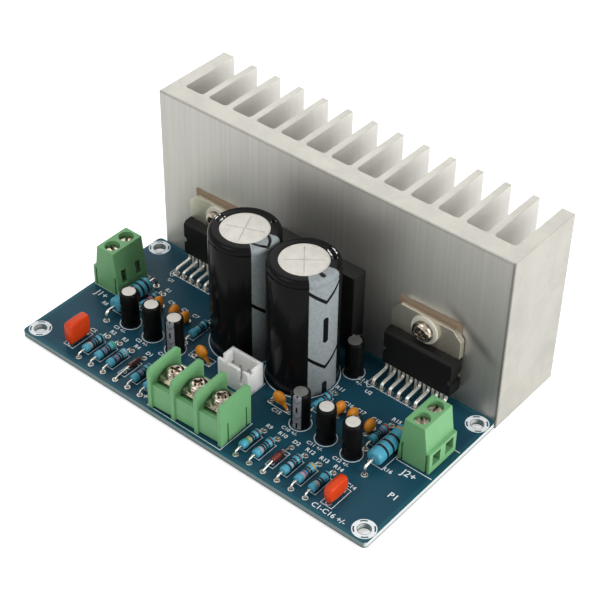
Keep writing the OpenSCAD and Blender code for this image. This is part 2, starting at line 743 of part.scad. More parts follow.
module at_pole(side, pole) {
    at_output(side) translate([0, (pole - 0.5) * pole_pitch, 0]) children();
}

// cavities of one pole: cage chamber, contact slot, screw well, wire entry and inner window
module pole_cavity() {
    half = chamber_w / 2;
    slot_u = contact_u - contact_t - fit_gap;
    span_box([chamber_u[0], -half, -eps], [chamber_u[1], half, shoulder_z]);
    span_box([slot_u, -tongue_w / 2 - fit_gap, -eps],
             [0, tongue_w / 2 + fit_gap, tongue_z + tongue_t + fit_gap]);
    translate([0, 0, shoulder_z - eps]) cylinder(d = clamp_d + bore_gap, h = out_h);
    translate([0, 0, shoulder_z + shoulder_t]) cylinder(d = clamp_head_d + bore_gap, h = out_h);
    span_box([0, -wire_w / 2, cage_z + cage_floor],
             [out_base_out + eps, wire_w / 2, cage_z + cage_floor + wire_h]);
    span_box([-out_base_in - eps, -window_w / 2, window_z[0]], [0, window_w / 2, window_z[1]]);
}

module output_housing(side) {
    top = out_top_w / 2;
    color([0.45, 0.66, 0.48]) at_output(side) difference() {
        rotate([90, 0, 0]) translate([0, 0, -out_l / 2]) linear_extrude(out_l) polygon([
            [-out_base_in, 0], [out_base_out, 0], [out_base_out, out_ledge_z],
            [out_base_out - out_ledge_w, out_ledge_z + out_ledge_rise], [top, out_h], [-top, out_h],
            [-out_base_in, out_foot_h]]);
        for (pole = [0, 1]) translate([0, (pole - 0.5) * pole_pitch, 0]) pole_cavity();
        for (u = out_groove_us) translate([u, -out_l / 2 - eps, -eps]) cube(out_groove);
    }
}

// upright strip with a pin into the board and a tongue through the clamp cage
module output_contacts(side) {
    u0 = contact_u - contact_t;
    color([0.75, 0.74, 0.7]) for (pole = [0, 1]) at_pole(side, pole) {
        span_box([u0, -contact_pin_w / 2, -board_t], [contact_u, contact_pin_w / 2, contact_pin_h + eps]);
        span_box([u0, -tongue_w / 2, contact_pin_h], [contact_u, tongue_w / 2, tongue_z + tongue_t]);
        span_box([contact_u - eps, -tongue_w / 2, tongue_z], [tongue_u, tongue_w / 2, tongue_z + tongue_t]);
    }
}

module clamp_cage(side, pole) {
    half = cage_w / 2;
    color([0.75, 0.74, 0.7]) at_pole(side, pole) difference() {
        span_box([cage_u[0], -half, cage_z], [cage_u[1], half, nut_z + nut_t]);
        span_box([cage_u[0] - eps, cage_side - half, cage_z + cage_floor],
                 [cage_u[1] + eps, half - cage_side, nut_z]);
        translate([0, 0, nut_z - eps]) cylinder(d = clamp_d + 2 * fit_gap, h = nut_t + 2 * eps);
    }
}

module clamp_screw(side, pole) {
    seat_z = shoulder_z + shoulder_t;
    tip_z = tongue_z + tongue_t + clamp_tip_gap;
    color([0.8, 0.79, 0.77]) at_pole(side, pole) difference() {
        union() {
            translate([0, 0, tip_z]) cylinder(d = clamp_d, h = seat_z - tip_z + eps);
            translate([0, 0, seat_z]) cylinder(d = clamp_head_d, h = clamp_head_h);
        }
        translate([0, 0, seat_z + clamp_head_h - clamp_slot_h]) rotate(clamp_turns[side][pole])
            translate([-clamp_head_d, -clamp_slot_w / 2, 0])
                cube([2 * clamp_head_d, clamp_slot_w, clamp_head_h]);
    }
}

// places a piece of the supply terminal
module at_strip() {
    translate([mid_x, strip_y, board_t]) rotate(strip_turn) children();
}

// outline of a wall, seen from the end, with rounded upper corners
module wall_outline() {
    translate([-strip_d / 2, 0]) square([strip_d, strip_h - wall_r]);
    translate([wall_r - strip_d / 2, 0]) square([strip_d - 2 * wall_r, strip_h]);
    for (k = sides) translate([k * (strip_d / 2 - wall_r), strip_h - wall_r]) circle(wall_r);
}

module strip_housing() {
    block_d = strip_d - 2 * block_set;
    bore_z = shank_z - shank_gap;
    pin_w = strip_pin_w + 2 * fit_gap;
    color([0.47, 0.68, 0.5]) at_strip() difference() {
        union() {
            for (i = [0 : strip_n]) translate([i * strip_pitch - strip_l / 2, 0, 0])
                rotate([90, 0, 90]) linear_extrude(strip_wall) wall_outline();
            translate([eps - strip_l / 2, -block_d / 2, block_foot])
                cube([strip_l - 2 * eps, block_d, block_h - block_foot]);
        }
        for (pole = [0 : strip_n - 1]) translate([strip_off(pole), 0, 0]) {
            span_box([-plate_w / 2, plate_y[0] - plate_slot, plate_z],
                     [plate_w / 2, strip_d / 2 - block_set + eps, block_h + eps]);
            span_box([-plate_w / 2, plate_y[0] - plate_slot, plate_z - plate_slot],
                     [plate_w / 2, plate_y[0], block_h + eps]);
            translate([0, 0, bore_z]) cylinder(d = strip_screw_d + bore_gap, h = block_h);
            translate([0, strip_pin_y, 0]) cube([pin_w, pin_w, 3 * block_h], center = true);
        }
        for (k = sides, y = end_groove_ys)
            translate([k * strip_l / 2 - end_groove[0], y, -eps])
                cube([2 * end_groove[0], end_groove[1], end_groove[2]]);
    }
}

// flat plate with a threaded hole and a pin into the board
module strip_contacts() {
    color([0.76, 0.74, 0.7]) at_strip() for (pole = [0 : strip_n - 1])
      translate([strip_off(pole), 0, 0]) {
        difference() {
            span_box([-plate_w / 2, plate_y[0], plate_z], [plate_w / 2, plate_y[1], plate_z + plate_t]);
            translate([0, 0, plate_z - eps])
                cylinder(d = strip_screw_d + 2 * fit_gap, h = plate_t + 2 * eps);
        }
        span_box([-strip_pin_w / 2, strip_pin_y - strip_pin_w / 2, -board_t],
                 [strip_pin_w / 2, strip_pin_y + strip_pin_w / 2, plate_z + eps]);
    }
}

module strip_washer(pole) {
    color([0.78, 0.76, 0.72]) at_strip() translate([strip_off(pole), 0, washer_z])
        linear_extrude(washer_t) difference() {
            square(washer_w, center = true);
            circle(d = strip_screw_d + 2 * fit_gap);
        }
}

module strip_screw(pole) {
    color([0.82, 0.8, 0.77]) at_strip() translate([strip_off(pole), 0, 0]) {
        translate([0, 0, head_z]) pan_head(strip_head_d, strip_head_h);
        translate([0, 0, shank_z]) cylinder(d = strip_screw_d, h = head_z - shank_z + eps);
    }
}

circuit_board();
solder_joints();
heatsink();
heatsink_screws();
screw_bushes();
insulating_pad(0);  // insulating_pad_left
insulating_pad(1);  // insulating_pad_right
chip_tab(0);  // chip_tab_left
chip_tab(1);  // chip_tab_right
chip_moulding(0);  // chip_moulding_left
chip_moulding(1);  // chip_moulding_right
chip_leads(0);  // chip_leads_left
chip_leads(1);  // chip_leads_right
rectifier_body();
rectifier_leads();
filter_can(-1);  // filter_can_left
filter_can(1);  // filter_can_right
filter_sleeve(-1);  // filter_sleeve_left
filter_sleeve(1);  // filter_sleeve_right
small_capacitor(round_spots(-1)[0]);  // small_capacitor_left_inner
small_capacitor(round_spots(-1)[1]);  // small_capacitor_left_middle
small_capacitor(round_spots(-1)[2]);  // small_capacitor_left_outer
small_capacitor(round_spots(1)[0]);  // small_capacitor_right_inner
small_capacitor(round_spots(1)[1]);  // small_capacitor_right_middle
small_capacitor(round_spots(1)[2]);  // small_capacitor_right_outer
small_capacitor(round_spots(-1)[3]);  // supply_capacitor_left
small_capacitor(round_spots(1)[3]);  // supply_capacitor_right
film_capacitor(0);  // film_capacitor_left
film_capacitor(1);  // film_capacitor_right
ceramic_capacitors(-1);  // ceramic_capacitors_left
ceramic_capacitors(1);  // ceramic_capacitors_right
resistors(-1);  // resistors_left
resistors(1);  // resistors_right
power_resistor(0);  // power_resistor_left
power_resistor(1);  // power_resistor_right
diode(0);  // diode_left
diode(1);  // diode_right
header_housing();
header_pins();
output_housing(0);  // output_housing_left
output_housing(1);  // output_housing_right
output_contacts(0);  // output_contacts_left
output_contacts(1);  // output_contacts_right
strip_housing();
strip_contacts();
clamp_cage(0, 0);  // clamp_cage_left_front
clamp_cage(0, 1);  // clamp_cage_left_back
clamp_cage(1, 0);  // clamp_cage_right_front
clamp_cage(1, 1);  // clamp_cage_right_back
clamp_screw(0, 0);  // clamp_screw_left_front
clamp_screw(0, 1);  // clamp_screw_left_back
clamp_screw(1, 0);  // clamp_screw_right_front
clamp_screw(1, 1);  // clamp_screw_right_back
strip_washer(0);  // strip_washer_left
strip_washer(1);  // strip_washer_middle
strip_washer(2);  // strip_washer_right
strip_screw(0);  // strip_screw_left
strip_screw(1);  // strip_screw_middle
strip_screw(2);  // strip_screw_right
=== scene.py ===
"""Looks of a stereo audio amplifier board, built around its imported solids.

Housings and metal parts are rounded copies of their solids. The components, the pads
and the white print are modelled here. Sizes in the classes are millimetres, and the
meshes are in metres, in the frame of the solids.
"""

from __future__ import annotations

import json
import logging
import math
from contextlib import contextmanager
from dataclasses import dataclass, field
from enum import Enum
from typing import Any, Callable, Iterator, Sequence

import bpy
from mathutils import Matrix, Vector

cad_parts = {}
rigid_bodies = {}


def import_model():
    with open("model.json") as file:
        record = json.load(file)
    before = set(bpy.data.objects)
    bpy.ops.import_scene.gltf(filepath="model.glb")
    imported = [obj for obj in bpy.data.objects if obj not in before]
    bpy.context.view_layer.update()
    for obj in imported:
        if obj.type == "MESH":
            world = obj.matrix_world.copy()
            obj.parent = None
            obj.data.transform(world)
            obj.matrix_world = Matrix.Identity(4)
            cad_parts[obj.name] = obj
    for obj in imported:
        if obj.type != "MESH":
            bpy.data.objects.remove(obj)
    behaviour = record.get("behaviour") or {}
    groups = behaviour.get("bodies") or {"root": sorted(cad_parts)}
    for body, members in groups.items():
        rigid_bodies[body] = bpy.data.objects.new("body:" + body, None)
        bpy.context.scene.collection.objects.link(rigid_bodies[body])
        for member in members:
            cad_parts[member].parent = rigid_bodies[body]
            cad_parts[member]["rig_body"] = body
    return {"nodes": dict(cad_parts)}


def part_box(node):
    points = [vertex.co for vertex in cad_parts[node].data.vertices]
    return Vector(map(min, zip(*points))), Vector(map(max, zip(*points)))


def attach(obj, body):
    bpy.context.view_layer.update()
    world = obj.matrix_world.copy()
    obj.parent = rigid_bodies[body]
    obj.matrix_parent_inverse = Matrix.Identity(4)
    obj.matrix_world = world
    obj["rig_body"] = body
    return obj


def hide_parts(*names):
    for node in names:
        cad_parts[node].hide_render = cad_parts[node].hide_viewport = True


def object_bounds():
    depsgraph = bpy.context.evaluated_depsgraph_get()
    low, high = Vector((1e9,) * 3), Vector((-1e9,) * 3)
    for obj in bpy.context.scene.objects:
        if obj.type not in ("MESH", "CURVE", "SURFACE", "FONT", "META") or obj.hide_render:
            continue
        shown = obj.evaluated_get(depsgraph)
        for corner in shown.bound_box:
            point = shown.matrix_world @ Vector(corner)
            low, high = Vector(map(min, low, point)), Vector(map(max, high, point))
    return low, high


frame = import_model()
CAD_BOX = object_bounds()

MM = 0.001
ROOT = "board"
PHOTO_PIXELS = 600
BOARD_TOP = 1.6
MIRROR_X = -0.4
LEG_THICK = 0.55
FONT_RATIO = 1.4
STRIPE_SOFT, CHEVRON_SLOPE, SLOT_RISE = 0.12, 0.86, 0.58
PLACES = ("inner", "middle", "outer")
WHITE = (1.0, 1.0, 1.0, 1.0)
log = logging.getLogger("amplifier_board")

RGB = tuple[float, float, float]
Spot = tuple[float, float]
Profile = Sequence[Spot]
Piece = bpy.types.Object
Socket = bpy.types.NodeSocket


class Side(Enum):
    """The two channels of the board, with their sign along X."""

    LEFT = -1
    RIGHT = 1

    @property
    def word(self) -> str:
        """Word that ends the names of this side's solids."""
        return self.name.lower()

    def pick(self, pair: Sequence[Any]) -> Any:
        """Takes this side's value from a left and a right one."""
        return pair[self is Side.RIGHT]


class Streak(Enum):
    """How a finish's grain is stretched along the axes."""

    EVEN = (1.0, 1.0, 1.0)
    UPRIGHT = (1.0, 1.0, 0.012)


class Band(Enum):
    """Colours of the rings on a resistor."""

    BLACK = (0.008, 0.008, 0.008)
    BROWN = (0.075, 0.02, 0.01)
    RED = (0.38, 0.02, 0.012)
    GREEN = (0.06, 0.26, 0.09)
    VIOLET = (0.16, 0.07, 0.17)
    GREY = (0.33, 0.34, 0.38)
    GOLD = (0.42, 0.26, 0.05)
    PINK = (0.46, 0.25, 0.24)


# Shader graphs


class Graph:
    """Adds nodes to one tree and links them."""

    def __init__(self, tree: bpy.types.NodeTree) -> None:
        """Keeps the tree that the nodes go into."""
        self.tree = tree

    def fill(self, node: bpy.types.Node, inputs: dict[Any, Any]) -> None:
        """Sets a node's inputs, by name or number, to values or links them to sockets."""
        for key, value in inputs.items():
            if isinstance(value, Socket):
                self.tree.links.new(value, node.inputs[key])
            else:
                node.inputs[key].default_value = value

    def node(self, kind: str, inputs: dict[Any, Any] | None = None, **settings: Any) -> bpy.types.Node:
        """Adds a node.

        Args:
            kind: Type name of the node.
            inputs: Values or sockets for the node's inputs, by name or number.
            settings: Other properties of the node.

        Returns:
            The new node.
        """
        made = self.tree.nodes.new(kind)
        for key, value in settings.items():
            setattr(made, key, value)
        self.fill(made, inputs or {})
        return made

    def calc(self, operation: str, *values: Any) -> Socket:
        """Adds a Math node on values or sockets and returns its result."""
        return self.node("ShaderNodeMath", dict(enumerate(values)), operation=operation).outputs[0]

    def times(self, first: Any, second: Any) -> Socket:
        """Multiplies two values or sockets."""
        return self.calc("MULTIPLY", first, second)

    def minus(self, first: Any, second: Any) -> Socket:
        """Takes the second value or socket from the first."""
        return self.calc("SUBTRACT", first, second)

    def most(self, first: Any, second: Any) -> Socket:
        """Picks the larger of two values or sockets."""
        return self.calc("MAXIMUM", first, second)

    def hypot(self, first: Any, second: Any) -> Socket:
        """Length of a step with two parts at a right angle."""
        squares = [self.calc("POWER", part, 2.0) for part in (first, second)]
        return self.calc("SQRT", self.calc("ADD", *squares))

    def blend(self, factor: Any, first: Any, second: Any) -> Socket:
        """Mixes two colours by a factor and returns the result."""
        mix = self.node("ShaderNodeMix", {0: factor, 6: first, 7: second}, data_type="RGBA")
        return mix.outputs[2]

    def ramp(self, value: Any, low: Any, high: Any) -> Socket:
        """Maps a value to 0 at low and 1 at high, clamped, and returns the result."""
        return self.node("ShaderNodeMapRange", {0: value, 1: low, 2: high}).outputs[0]

    def fade(self, value: Any, start: float, end: float) -> Socket:
        """Maps a place to 0 at start and 1 at end, both in millimetres."""
        return self.ramp(value, start * MM, end * MM)

    def parts(self, vector: Any) -> list[Socket]:
        """Splits a vector into its three parts."""
        return list(self.node("ShaderNodeSeparateXYZ", {0: vector}).outputs)

    def facing(self) -> list[Socket]:
        """Gives the three parts of the surface's normal."""
        return self.parts(self.node("ShaderNodeNewGeometry").outputs["Normal"])

    def noise(self, place: Any, scale: Any, **more: float) -> Socket:
        """Adds a noise texture, with its other inputs by their names in small letters."""
        others = {key.title(): value for key, value in more.items()}
        return self.node("ShaderNodeTexNoise", {"Vector": place, "Scale": scale, **others}).outputs[0]


def rgba(colour: RGB) -> tuple[float, float, float, float]:
    """Adds full alpha to a colour."""
    return (*colour, 1.0)


def new_group(name: str, inputs: dict[str, str],
              outputs: dict[str, str]) -> tuple[Graph, bpy.types.Node, bpy.types.Node]:
    """Makes an empty shader node group.

    Args:
        name: Name of the group.
        inputs: Socket kind of each input, by name.
        outputs: Socket kind of each output, by name.

    Returns:
        The graph of the group, its input node and its output node.
    """
    tree = bpy.data.node_groups.new(name, "ShaderNodeTree")
    for way, sockets in (("INPUT", inputs), ("OUTPUT", outputs)):
        for label, kind in sockets.items():
            tree.interface.new_socket(label, in_out=way, socket_type=f"NodeSocket{kind}")
    graph = Graph(tree)
    return graph, graph.node("NodeGroupInput"), graph.node("NodeGroupOutput")


def variation_group() -> bpy.types.NodeTree:
    """Builds the group that varies a finish's colour and roughness and gives its grain."""
    name = "surface_variation"
    if name in bpy.data.node_groups:
        return bpy.data.node_groups[name]
    floats = dict.fromkeys(("Mottle", "Mottle Scale", "Grain Scale", "Rough", "Spread"), "Float")
    graph, given, result = new_group(
        name, {"Vector": "Vector", "Stretch": "Vector", "Colour": "Color", "Shade": "Color", **floats},
        {"Colour": "Color", "Roughness": "Float", "Height": "Float"})
    of = given.outputs
    pulled = graph.node("ShaderNodeVectorMath", {0: of["Vector"], 1: of["Stretch"]},
                        operation="MULTIPLY").outputs[0]
    patches = graph.noise(pulled, of["Mottle Scale"], detail=4.0, roughness=0.6)
    share = graph.times(graph.ramp(patches, 0.36, 0.66), of["Mottle"])
    graph.fill(result, {
        "Colour": graph.blend(share, of["Colour"], of["Shade"]),
        "Roughness": graph.calc("ADD", of["Rough"], graph.times(graph.minus(patches, 0.5), of["Spread"])),
        "Height": graph.noise(pulled, of["Grain Scale"], detail=2.0)})
    return graph.tree


def stripe_group() -> bpy.types.NodeTree:
    """Builds the group that draws a polarity stripe with chevrons and minus slots round a can."""
    name = "polarity_stripe"
    if name in bpy.data.node_groups:
        return bpy.data.node_groups[name]
    floats = ("Bearing", "Radius", "Half Width", "Pitch", "Line", "Slot Length", "Slot Radius")
    graph, given, result = new_group(
        name, {"Vector": "Vector", "Tip": "Vector", **dict.fromkeys(floats, "Float")},
        {"Stripe": "Float", "Mark": "Float"})
    of = given.outputs
    local = graph.node("ShaderNodeVectorMath", {0: of["Vector"], 1: of["Tip"]}, operation="SUBTRACT")
    x, y, height = graph.parts(local.outputs[0])
    z = graph.calc("ADD", height, graph.minus(of["Radius"], graph.hypot(x, y)))
    turn = graph.minus(graph.calc("ARCTAN2", y, x), of["Bearing"])
    turn = graph.calc("ABSOLUTE", graph.calc("WRAP", turn, math.pi, -math.pi))
    reach = graph.times(turn, of["Radius"])
    soft = graph.times(of["Line"], STRIPE_SOFT)
    stripe = graph.ramp(graph.minus(of["Half Width"], reach), 0.0, soft)
    half_pitch = graph.times(of["Pitch"], 0.5)
    from_line = graph.calc("PINGPONG", graph.minus(z, graph.times(reach, CHEVRON_SLOPE)), half_pitch)
    line = graph.ramp(graph.minus(graph.times(of["Line"], 0.5), from_line), 0.0, soft)
    middle = graph.calc("WRAP", graph.minus(z, graph.times(of["Pitch"], SLOT_RISE)),
                        half_pitch, graph.times(of["Pitch"], -0.5))
    past_end = graph.minus(graph.calc("ABSOLUTE", middle), graph.times(of["Slot Length"], 0.5))
    away = graph.hypot(graph.most(past_end, 0.0), reach)
    slot = graph.ramp(graph.minus(of["Slot Radius"], away), 0.0, soft)
    graph.fill(result, {"Stripe": stripe, "Mark": graph.times(graph.most(line, slot), stripe)})
    return graph.tree


# Finishes


@dataclass(frozen=True)
class Finish:
    """A procedural finish: a colour that drifts to a second shade, grain and gloss.

    Scales are per metre, and bump is the depth of the grain in millimetres.
    """

    name: str
    slot: str
    colour: RGB
    shade: RGB
    rough: float
    metal: float = 0.0
    specular: float = 0.5
    coat: float = 0.0
    coat_rough: float = 0.08
    mottle: float = 0.5
    mottle_scale: float = 160.0
    grain_scale: float = 5000.0
    bump: float = 0.006
    spread: float = 0.15
    soft: float = 0.0
    depth: float = 1.0
    streak: Streak = Streak.EVEN

    def material(self) -> bpy.types.Material:
        """Builds the material once and returns it."""
        found = bpy.data.materials.get(self.name)
        if found is not None:
            return found
        made = bpy.data.materials.new(self.name)
        made.use_nodes = True
        made.node_tree.nodes.clear()
        graph = Graph(made.node_tree)
        place = graph.node("ShaderNodeTexCoord").outputs["Object"]
        skin = graph.node("ShaderNodeGroup", {
            "Vector": place, "Colour": rgba(self.colour), "Shade": rgba(self.shade), "Mottle": self.mottle,
            "Mottle Scale": self.mottle_scale, "Grain Scale": self.grain_scale, "Stretch": self.streak.value,
            "Rough": self.rough, "Spread": self.spread}, node_tree=variation_group())
        bump = graph.node("ShaderNodeBump", {
            "Height": skin.outputs["Height"], "Distance": self.bump * MM, "Strength": 1.0})
        shader = graph.node("ShaderNodeBsdfPrincipled", {
            "Base Color": self.coloured(graph, place, skin.outputs["Colour"]),
            "Roughness": skin.outputs["Roughness"], "Normal": bump.outputs[0], "Metallic": self.metal,
            "Specular IOR Level": self.specular, "Coat Weight": self.coat, "Coat Roughness": self.coat_rough,
            "Subsurface Weight": self.soft, "Subsurface Radius": (1.0, 1.0, 1.0),
            "Subsurface Scale": self.depth * MM})
        graph.node("ShaderNodeOutputMaterial", {"Surface": shader.outputs[0]})
        return made

    def coloured(self, graph: Graph, place: Socket, skin: Socket) -> Socket:
        """Gives the colour that reaches the shader.

        Args:
            graph: Graph of the material.
            place: Object coordinates.
            skin: The varied colour of the finish.

        Returns:
            The colour socket, which plain finishes pass on as it is.
        """
        return skin


@dataclass(frozen=True)
class PrintedSleeve(Finish):
    """A shrunk sleeve with a printed polarity stripe round an upright axis."""

    axis: Spot = (0.0, 0.0)
    tip: float = 0.0
    radius: float = 9.0
    bearing: float = 0.0
    half_width: float = 4.5
    pitch: float = 20.15
    line: float = 1.3
    slot_length: float = 6.2
    slot_radius: float = 0.82
    ink: RGB = (0.25, 0.28, 0.29)
    worn: float = 0.8
    cloud_scale: float = 1500.0

    def coloured(self, graph: Graph, place: Socket, skin: Socket) -> Socket:
        """Lays the stripe and its marks over the sleeve's own colour."""
        lengths = {"Radius": self.radius, "Half Width": self.half_width, "Pitch": self.pitch,
                   "Line": self.line, "Slot Length": self.slot_length, "Slot Radius": self.slot_radius}
        stripe = graph.node("ShaderNodeGroup", {
            "Vector": place, "Tip": tuple(part * MM for part in (*self.axis, self.tip)),
            "Bearing": math.radians(self.bearing), **{key: size * MM for key, size in lengths.items()}},
            node_tree=stripe_group())
        cloud = graph.noise(place, self.cloud_scale, detail=4.0)
        faded = tuple(part * self.worn for part in self.ink)
        ink = graph.blend(graph.ramp(cloud, 0.42, 0.72), rgba(self.ink), rgba(faded))
        return graph.blend(graph.minus(stripe.outputs["Stripe"], stripe.outputs["Mark"]), skin, ink)


@dataclass(frozen=True)
class SolderMask(Finish):
    """Lacquered laminate: masked faces with a paler border strip and bare cut edges, the end cuts paler as
    painted light and the bottom of every cut darker as painted shade.
    """

    border: RGB = (0.013, 0.08, 0.108)
    border_fade: float = 0.25
    cut: RGB = (0.16, 0.22, 0.22)
    # Paler colour of the end cuts: painted light, standing in for strong light from the side.
    cut_end: RGB = (0.55, 0.58, 0.57)
    # Painted shade: dark colour along the bottom of every cut edge.
    burr: RGB = (0.07, 0.07, 0.065)
    burr_share: float = 0.8
    burr_heights: Spot = (0.7, 0.1)
    pour: Spot = (53.9, 24.2)

    def coloured(self, graph: Graph, place: Socket, skin: Socket) -> Socket:
        """Paints the border strip and the cut edges over the mask's own colour, with painted light on the end
        cuts and painted shade along the bottom of the cuts.
        """
        x, y, z = graph.parts(place)
        outside = [graph.minus(graph.calc("ABSOLUTE", axis), half * MM)
                   for axis, half in zip((x, y), self.pour)]
        strip = graph.fade(graph.most(*outside), -self.border_fade, self.border_fade)
        faces = graph.blend(strip, skin, rgba(self.border))
        across, _, upright = (graph.calc("ABSOLUTE", part) for part in graph.facing())
        # The end cuts take the paler colour as painted light.
        edges = graph.blend(graph.ramp(across, 0.4, 0.8), rgba(self.cut), rgba(self.cut_end))
        # Painted shade darkens the bottom of the cut edges.
        bottom_shaded = graph.times(graph.fade(z, *self.burr_heights), self.burr_share)
        edges = graph.blend(bottom_shaded, edges, rgba(self.burr))
        return graph.blend(graph.ramp(upright, 0.4, 0.6), edges, faces)


@dataclass(frozen=True)
class WornSink(Finish):
    """Drawn aluminium: clouded cut ends, fins paler as painted light, and painted shade along the edges and a
    slanting painted shadow on the front.

    Each share is the strength of its colour, from 0 to 1.
    """

    face: float = 25.25
    left: float = -52.6
    right: float = 55.0
    top: float = 49.3
    plate: float = 5.7
    plain: RGB = (0.415, 0.403, 0.36)
    dull: RGB = (0.352, 0.342, 0.308)
    cloud_scale: float = 150.0
    cut_share: float = 0.85
    # Paler colour of the fins: painted light that lifts the shade in the channels between them.
    fins: RGB = (0.62, 0.605, 0.565)
    fin_share: float = 0.7
    # Colour of the painted shade along the right and top edges of the front and of the painted shadow beside
    # the right chip.
    grime: RGB = (0.07, 0.066, 0.06)
    side_share: float = 0.6
    top_share: float = 0.3
    # Ends of the slanting painted shadow that the right chip casts on the front.
    smudge: tuple[Spot, Spot] = ((37.5, 30.2), (54.5, 17.2))
    smudge_width: float = 2.2
    smudge_share: float = 0.6
    smudge_taper: float = 0.3

    def coloured(self, graph: Graph, place: Socket, skin: Socket) -> Socket:
        """Clouds the cut ends, paints light on the fins, and paints shade along the edges of the front and a
        slanting shadow across it.
        """
        x, y, z = graph.parts(place)
        cut = graph.ramp(graph.facing()[2], 0.5, 0.8)
        for end, inward in ((self.left, 1.0), (self.right, -1.0)):
            cut = graph.most(cut, graph.fade(x, end + 0.3 * inward, end + 0.1 * inward))
        # Painted light: the fins behind the front plate are lightened.
        back = self.face + self.plate
        skin = graph.blend(graph.times(graph.fade(y, back - 0.6, back + 3.0), self.fin_share), skin,
                           rgba(self.fins))
        cloud = graph.noise(place, self.cloud_scale, detail=6.0, roughness=0.62, distortion=0.6)
        clouded = graph.blend(graph.ramp(cloud, 0.4, 0.68), rgba(self.plain), rgba(self.dull))
        skin = graph.blend(graph.times(cut, self.cut_share), skin, clouded)
        # Painted shade along the right and top edges of the front.
        side = graph.times(graph.fade(x, self.right - 0.75, self.right - 0.4), self.side_share)
        above = graph.times(graph.fade(z, self.top - 0.5, self.top - 0.2), self.top_share)
        # Painted shadow of the chip, slanting across the front.
        smudge = graph.times(self.smudged(graph, x, z), self.smudge_share)
        marks = graph.most(graph.most(side, above), smudge)
        front = graph.fade(y, self.face + 0.6, self.face + 0.3)
        return graph.blend(graph.times(marks, front), skin, rgba(self.grime))

    def smudged(self, graph: Graph, x: Socket, z: Socket) -> Socket:
        """Makes the mask of the slanting painted shadow.

        Args:
            graph: Graph of the material.
            x: Place across the front face.
            z: Place up the front face.

        Returns:
            The mask, 1 along the painted shadow's line and fading to its sides and ends.
        """
        start, end = (Vector((*spot, 0)) * MM for spot in self.smudge)
        run, length = (end - start).normalized(), (end - start).length
        over, up = graph.minus(x, start.x), graph.minus(z, start.y)
        along = graph.calc("ADD", graph.times(over, run.x), graph.times(up, run.y))
        off = graph.calc("ABSOLUTE", graph.minus(graph.times(over, run.y), graph.times(up, run.x)))
        taper = length * self.smudge_taper
        tips = graph.times(graph.ramp(along, 0.0, taper), graph.ramp(along, length, length - taper))
        return graph.times(graph.ramp(off, self.smudge_width * MM, 0.0), tips)


def metal(name: str, slot: str, colour: RGB, rough: float, **more: Any) -> Finish:
    """A bare metal finish whose shade is a little darker than its colour."""
    settings = {"mottle": 0.6, "bump": 0.002, "spread": 0.2, **more}
    return Finish(name, slot, colour, tuple(c * 0.8 for c in colour), rough, metal=1.0, **settings)


def plastic(name: str, slot: str, colour: RGB, rough: float, **more: Any) -> Finish:
    """A plastic or lacquer finish whose shade is a little darker than its colour."""
    settings = {"specular": 0.25, **more}
    return Finish(name, slot, colour, tuple(c * 0.82 for c in colour), rough, **settings)


def sleeve_finish(name: str, **stripe: Any) -> PrintedSleeve:
    """The black sleeve with a polarity stripe of the given sizes."""
    return PrintedSleeve(name, SLEEVE.slot, SLEEVE.colour, SLEEVE.shade, SLEEVE.rough,
                         specular=SLEEVE.specular, mottle_scale=SLEEVE.mottle_scale, bump=SLEEVE.bump,
                         **stripe)


def band_finish(band: Band, slot: str) -> Finish:
    """The lacquer of one ring colour."""
    return plastic(f"ring_{band.name.lower()}", slot, band.value, 0.36, mottle_scale=900.0)


MASK = SolderMask("solder_mask", "board_laminate", (0.009, 0.05, 0.08), (0.011, 0.062, 0.093), 0.34,
                  mottle_scale=60.0, bump=0.004, specular=0.1)
PRINT = plastic("white_print", "board_laminate", (0.76, 0.79, 0.81), 0.6, mottle_scale=2500.0, mottle=0.6)
SOLDER = metal("bright_solder", "solder", (0.54, 0.515, 0.48), 0.3, mottle_scale=900.0)
SINK = WornSink("drawn_aluminium", "sink_aluminium", (0.462, 0.452, 0.418), (0.35, 0.342, 0.315), 0.45,
                metal=0.82, mottle=0.42, mottle_scale=1300.0, grain_scale=2600.0, spread=0.1,
                streak=Streak.UPRIGHT, bump=0.003)
# Plated steel; the dark patches of its strong mottle are painted reflections.
SCREW = Finish("plated_screw", "screw_steel", (0.56, 0.49, 0.41), (0.08, 0.062, 0.045), 0.2, metal=1.0,
               mottle=1.0, mottle_scale=1100.0, bump=0.004)
BUSH = plastic("cream_bush", "bush_plastic", (0.62, 0.6, 0.52), 0.45)
PAD = plastic("silicone_pad", "pad_silicone", (0.26, 0.19, 0.13), 0.8, grain_scale=9000.0)
TAB = metal("chip_tab_metal", "tab_metal", (0.66, 0.615, 0.51), 0.4, mottle_scale=300.0)
EPOXY = plastic("black_epoxy", "moulding_black", (0.0075, 0.0075, 0.0072), 0.5, specular=0.12, bump=0.01)
# The rectifier's epoxy is lighter than the chips' as painted light, for the highlights on its faces.
BRIDGE = plastic("rectifier_epoxy", "moulding_black", (0.016, 0.016, 0.0155), 0.38, specular=0.3, bump=0.01)
TIN = metal("tinned_lead", "lead_tin", (0.68, 0.66, 0.60), 0.28, mottle_scale=1200.0)
CHIP_LEAD = Finish("tinned_chip_lead", "lead_tin", (0.82, 0.8, 0.73), (0.66, 0.64, 0.58), 0.42, metal=0.55,
                   mottle_scale=700.0, bump=0.001, spread=0.1)
CAN = Finish("can_top", "can_aluminium", (0.6, 0.58, 0.53), (0.46, 0.445, 0.41), 0.5, metal=0.1,
             mottle_scale=500.0, bump=0.003)
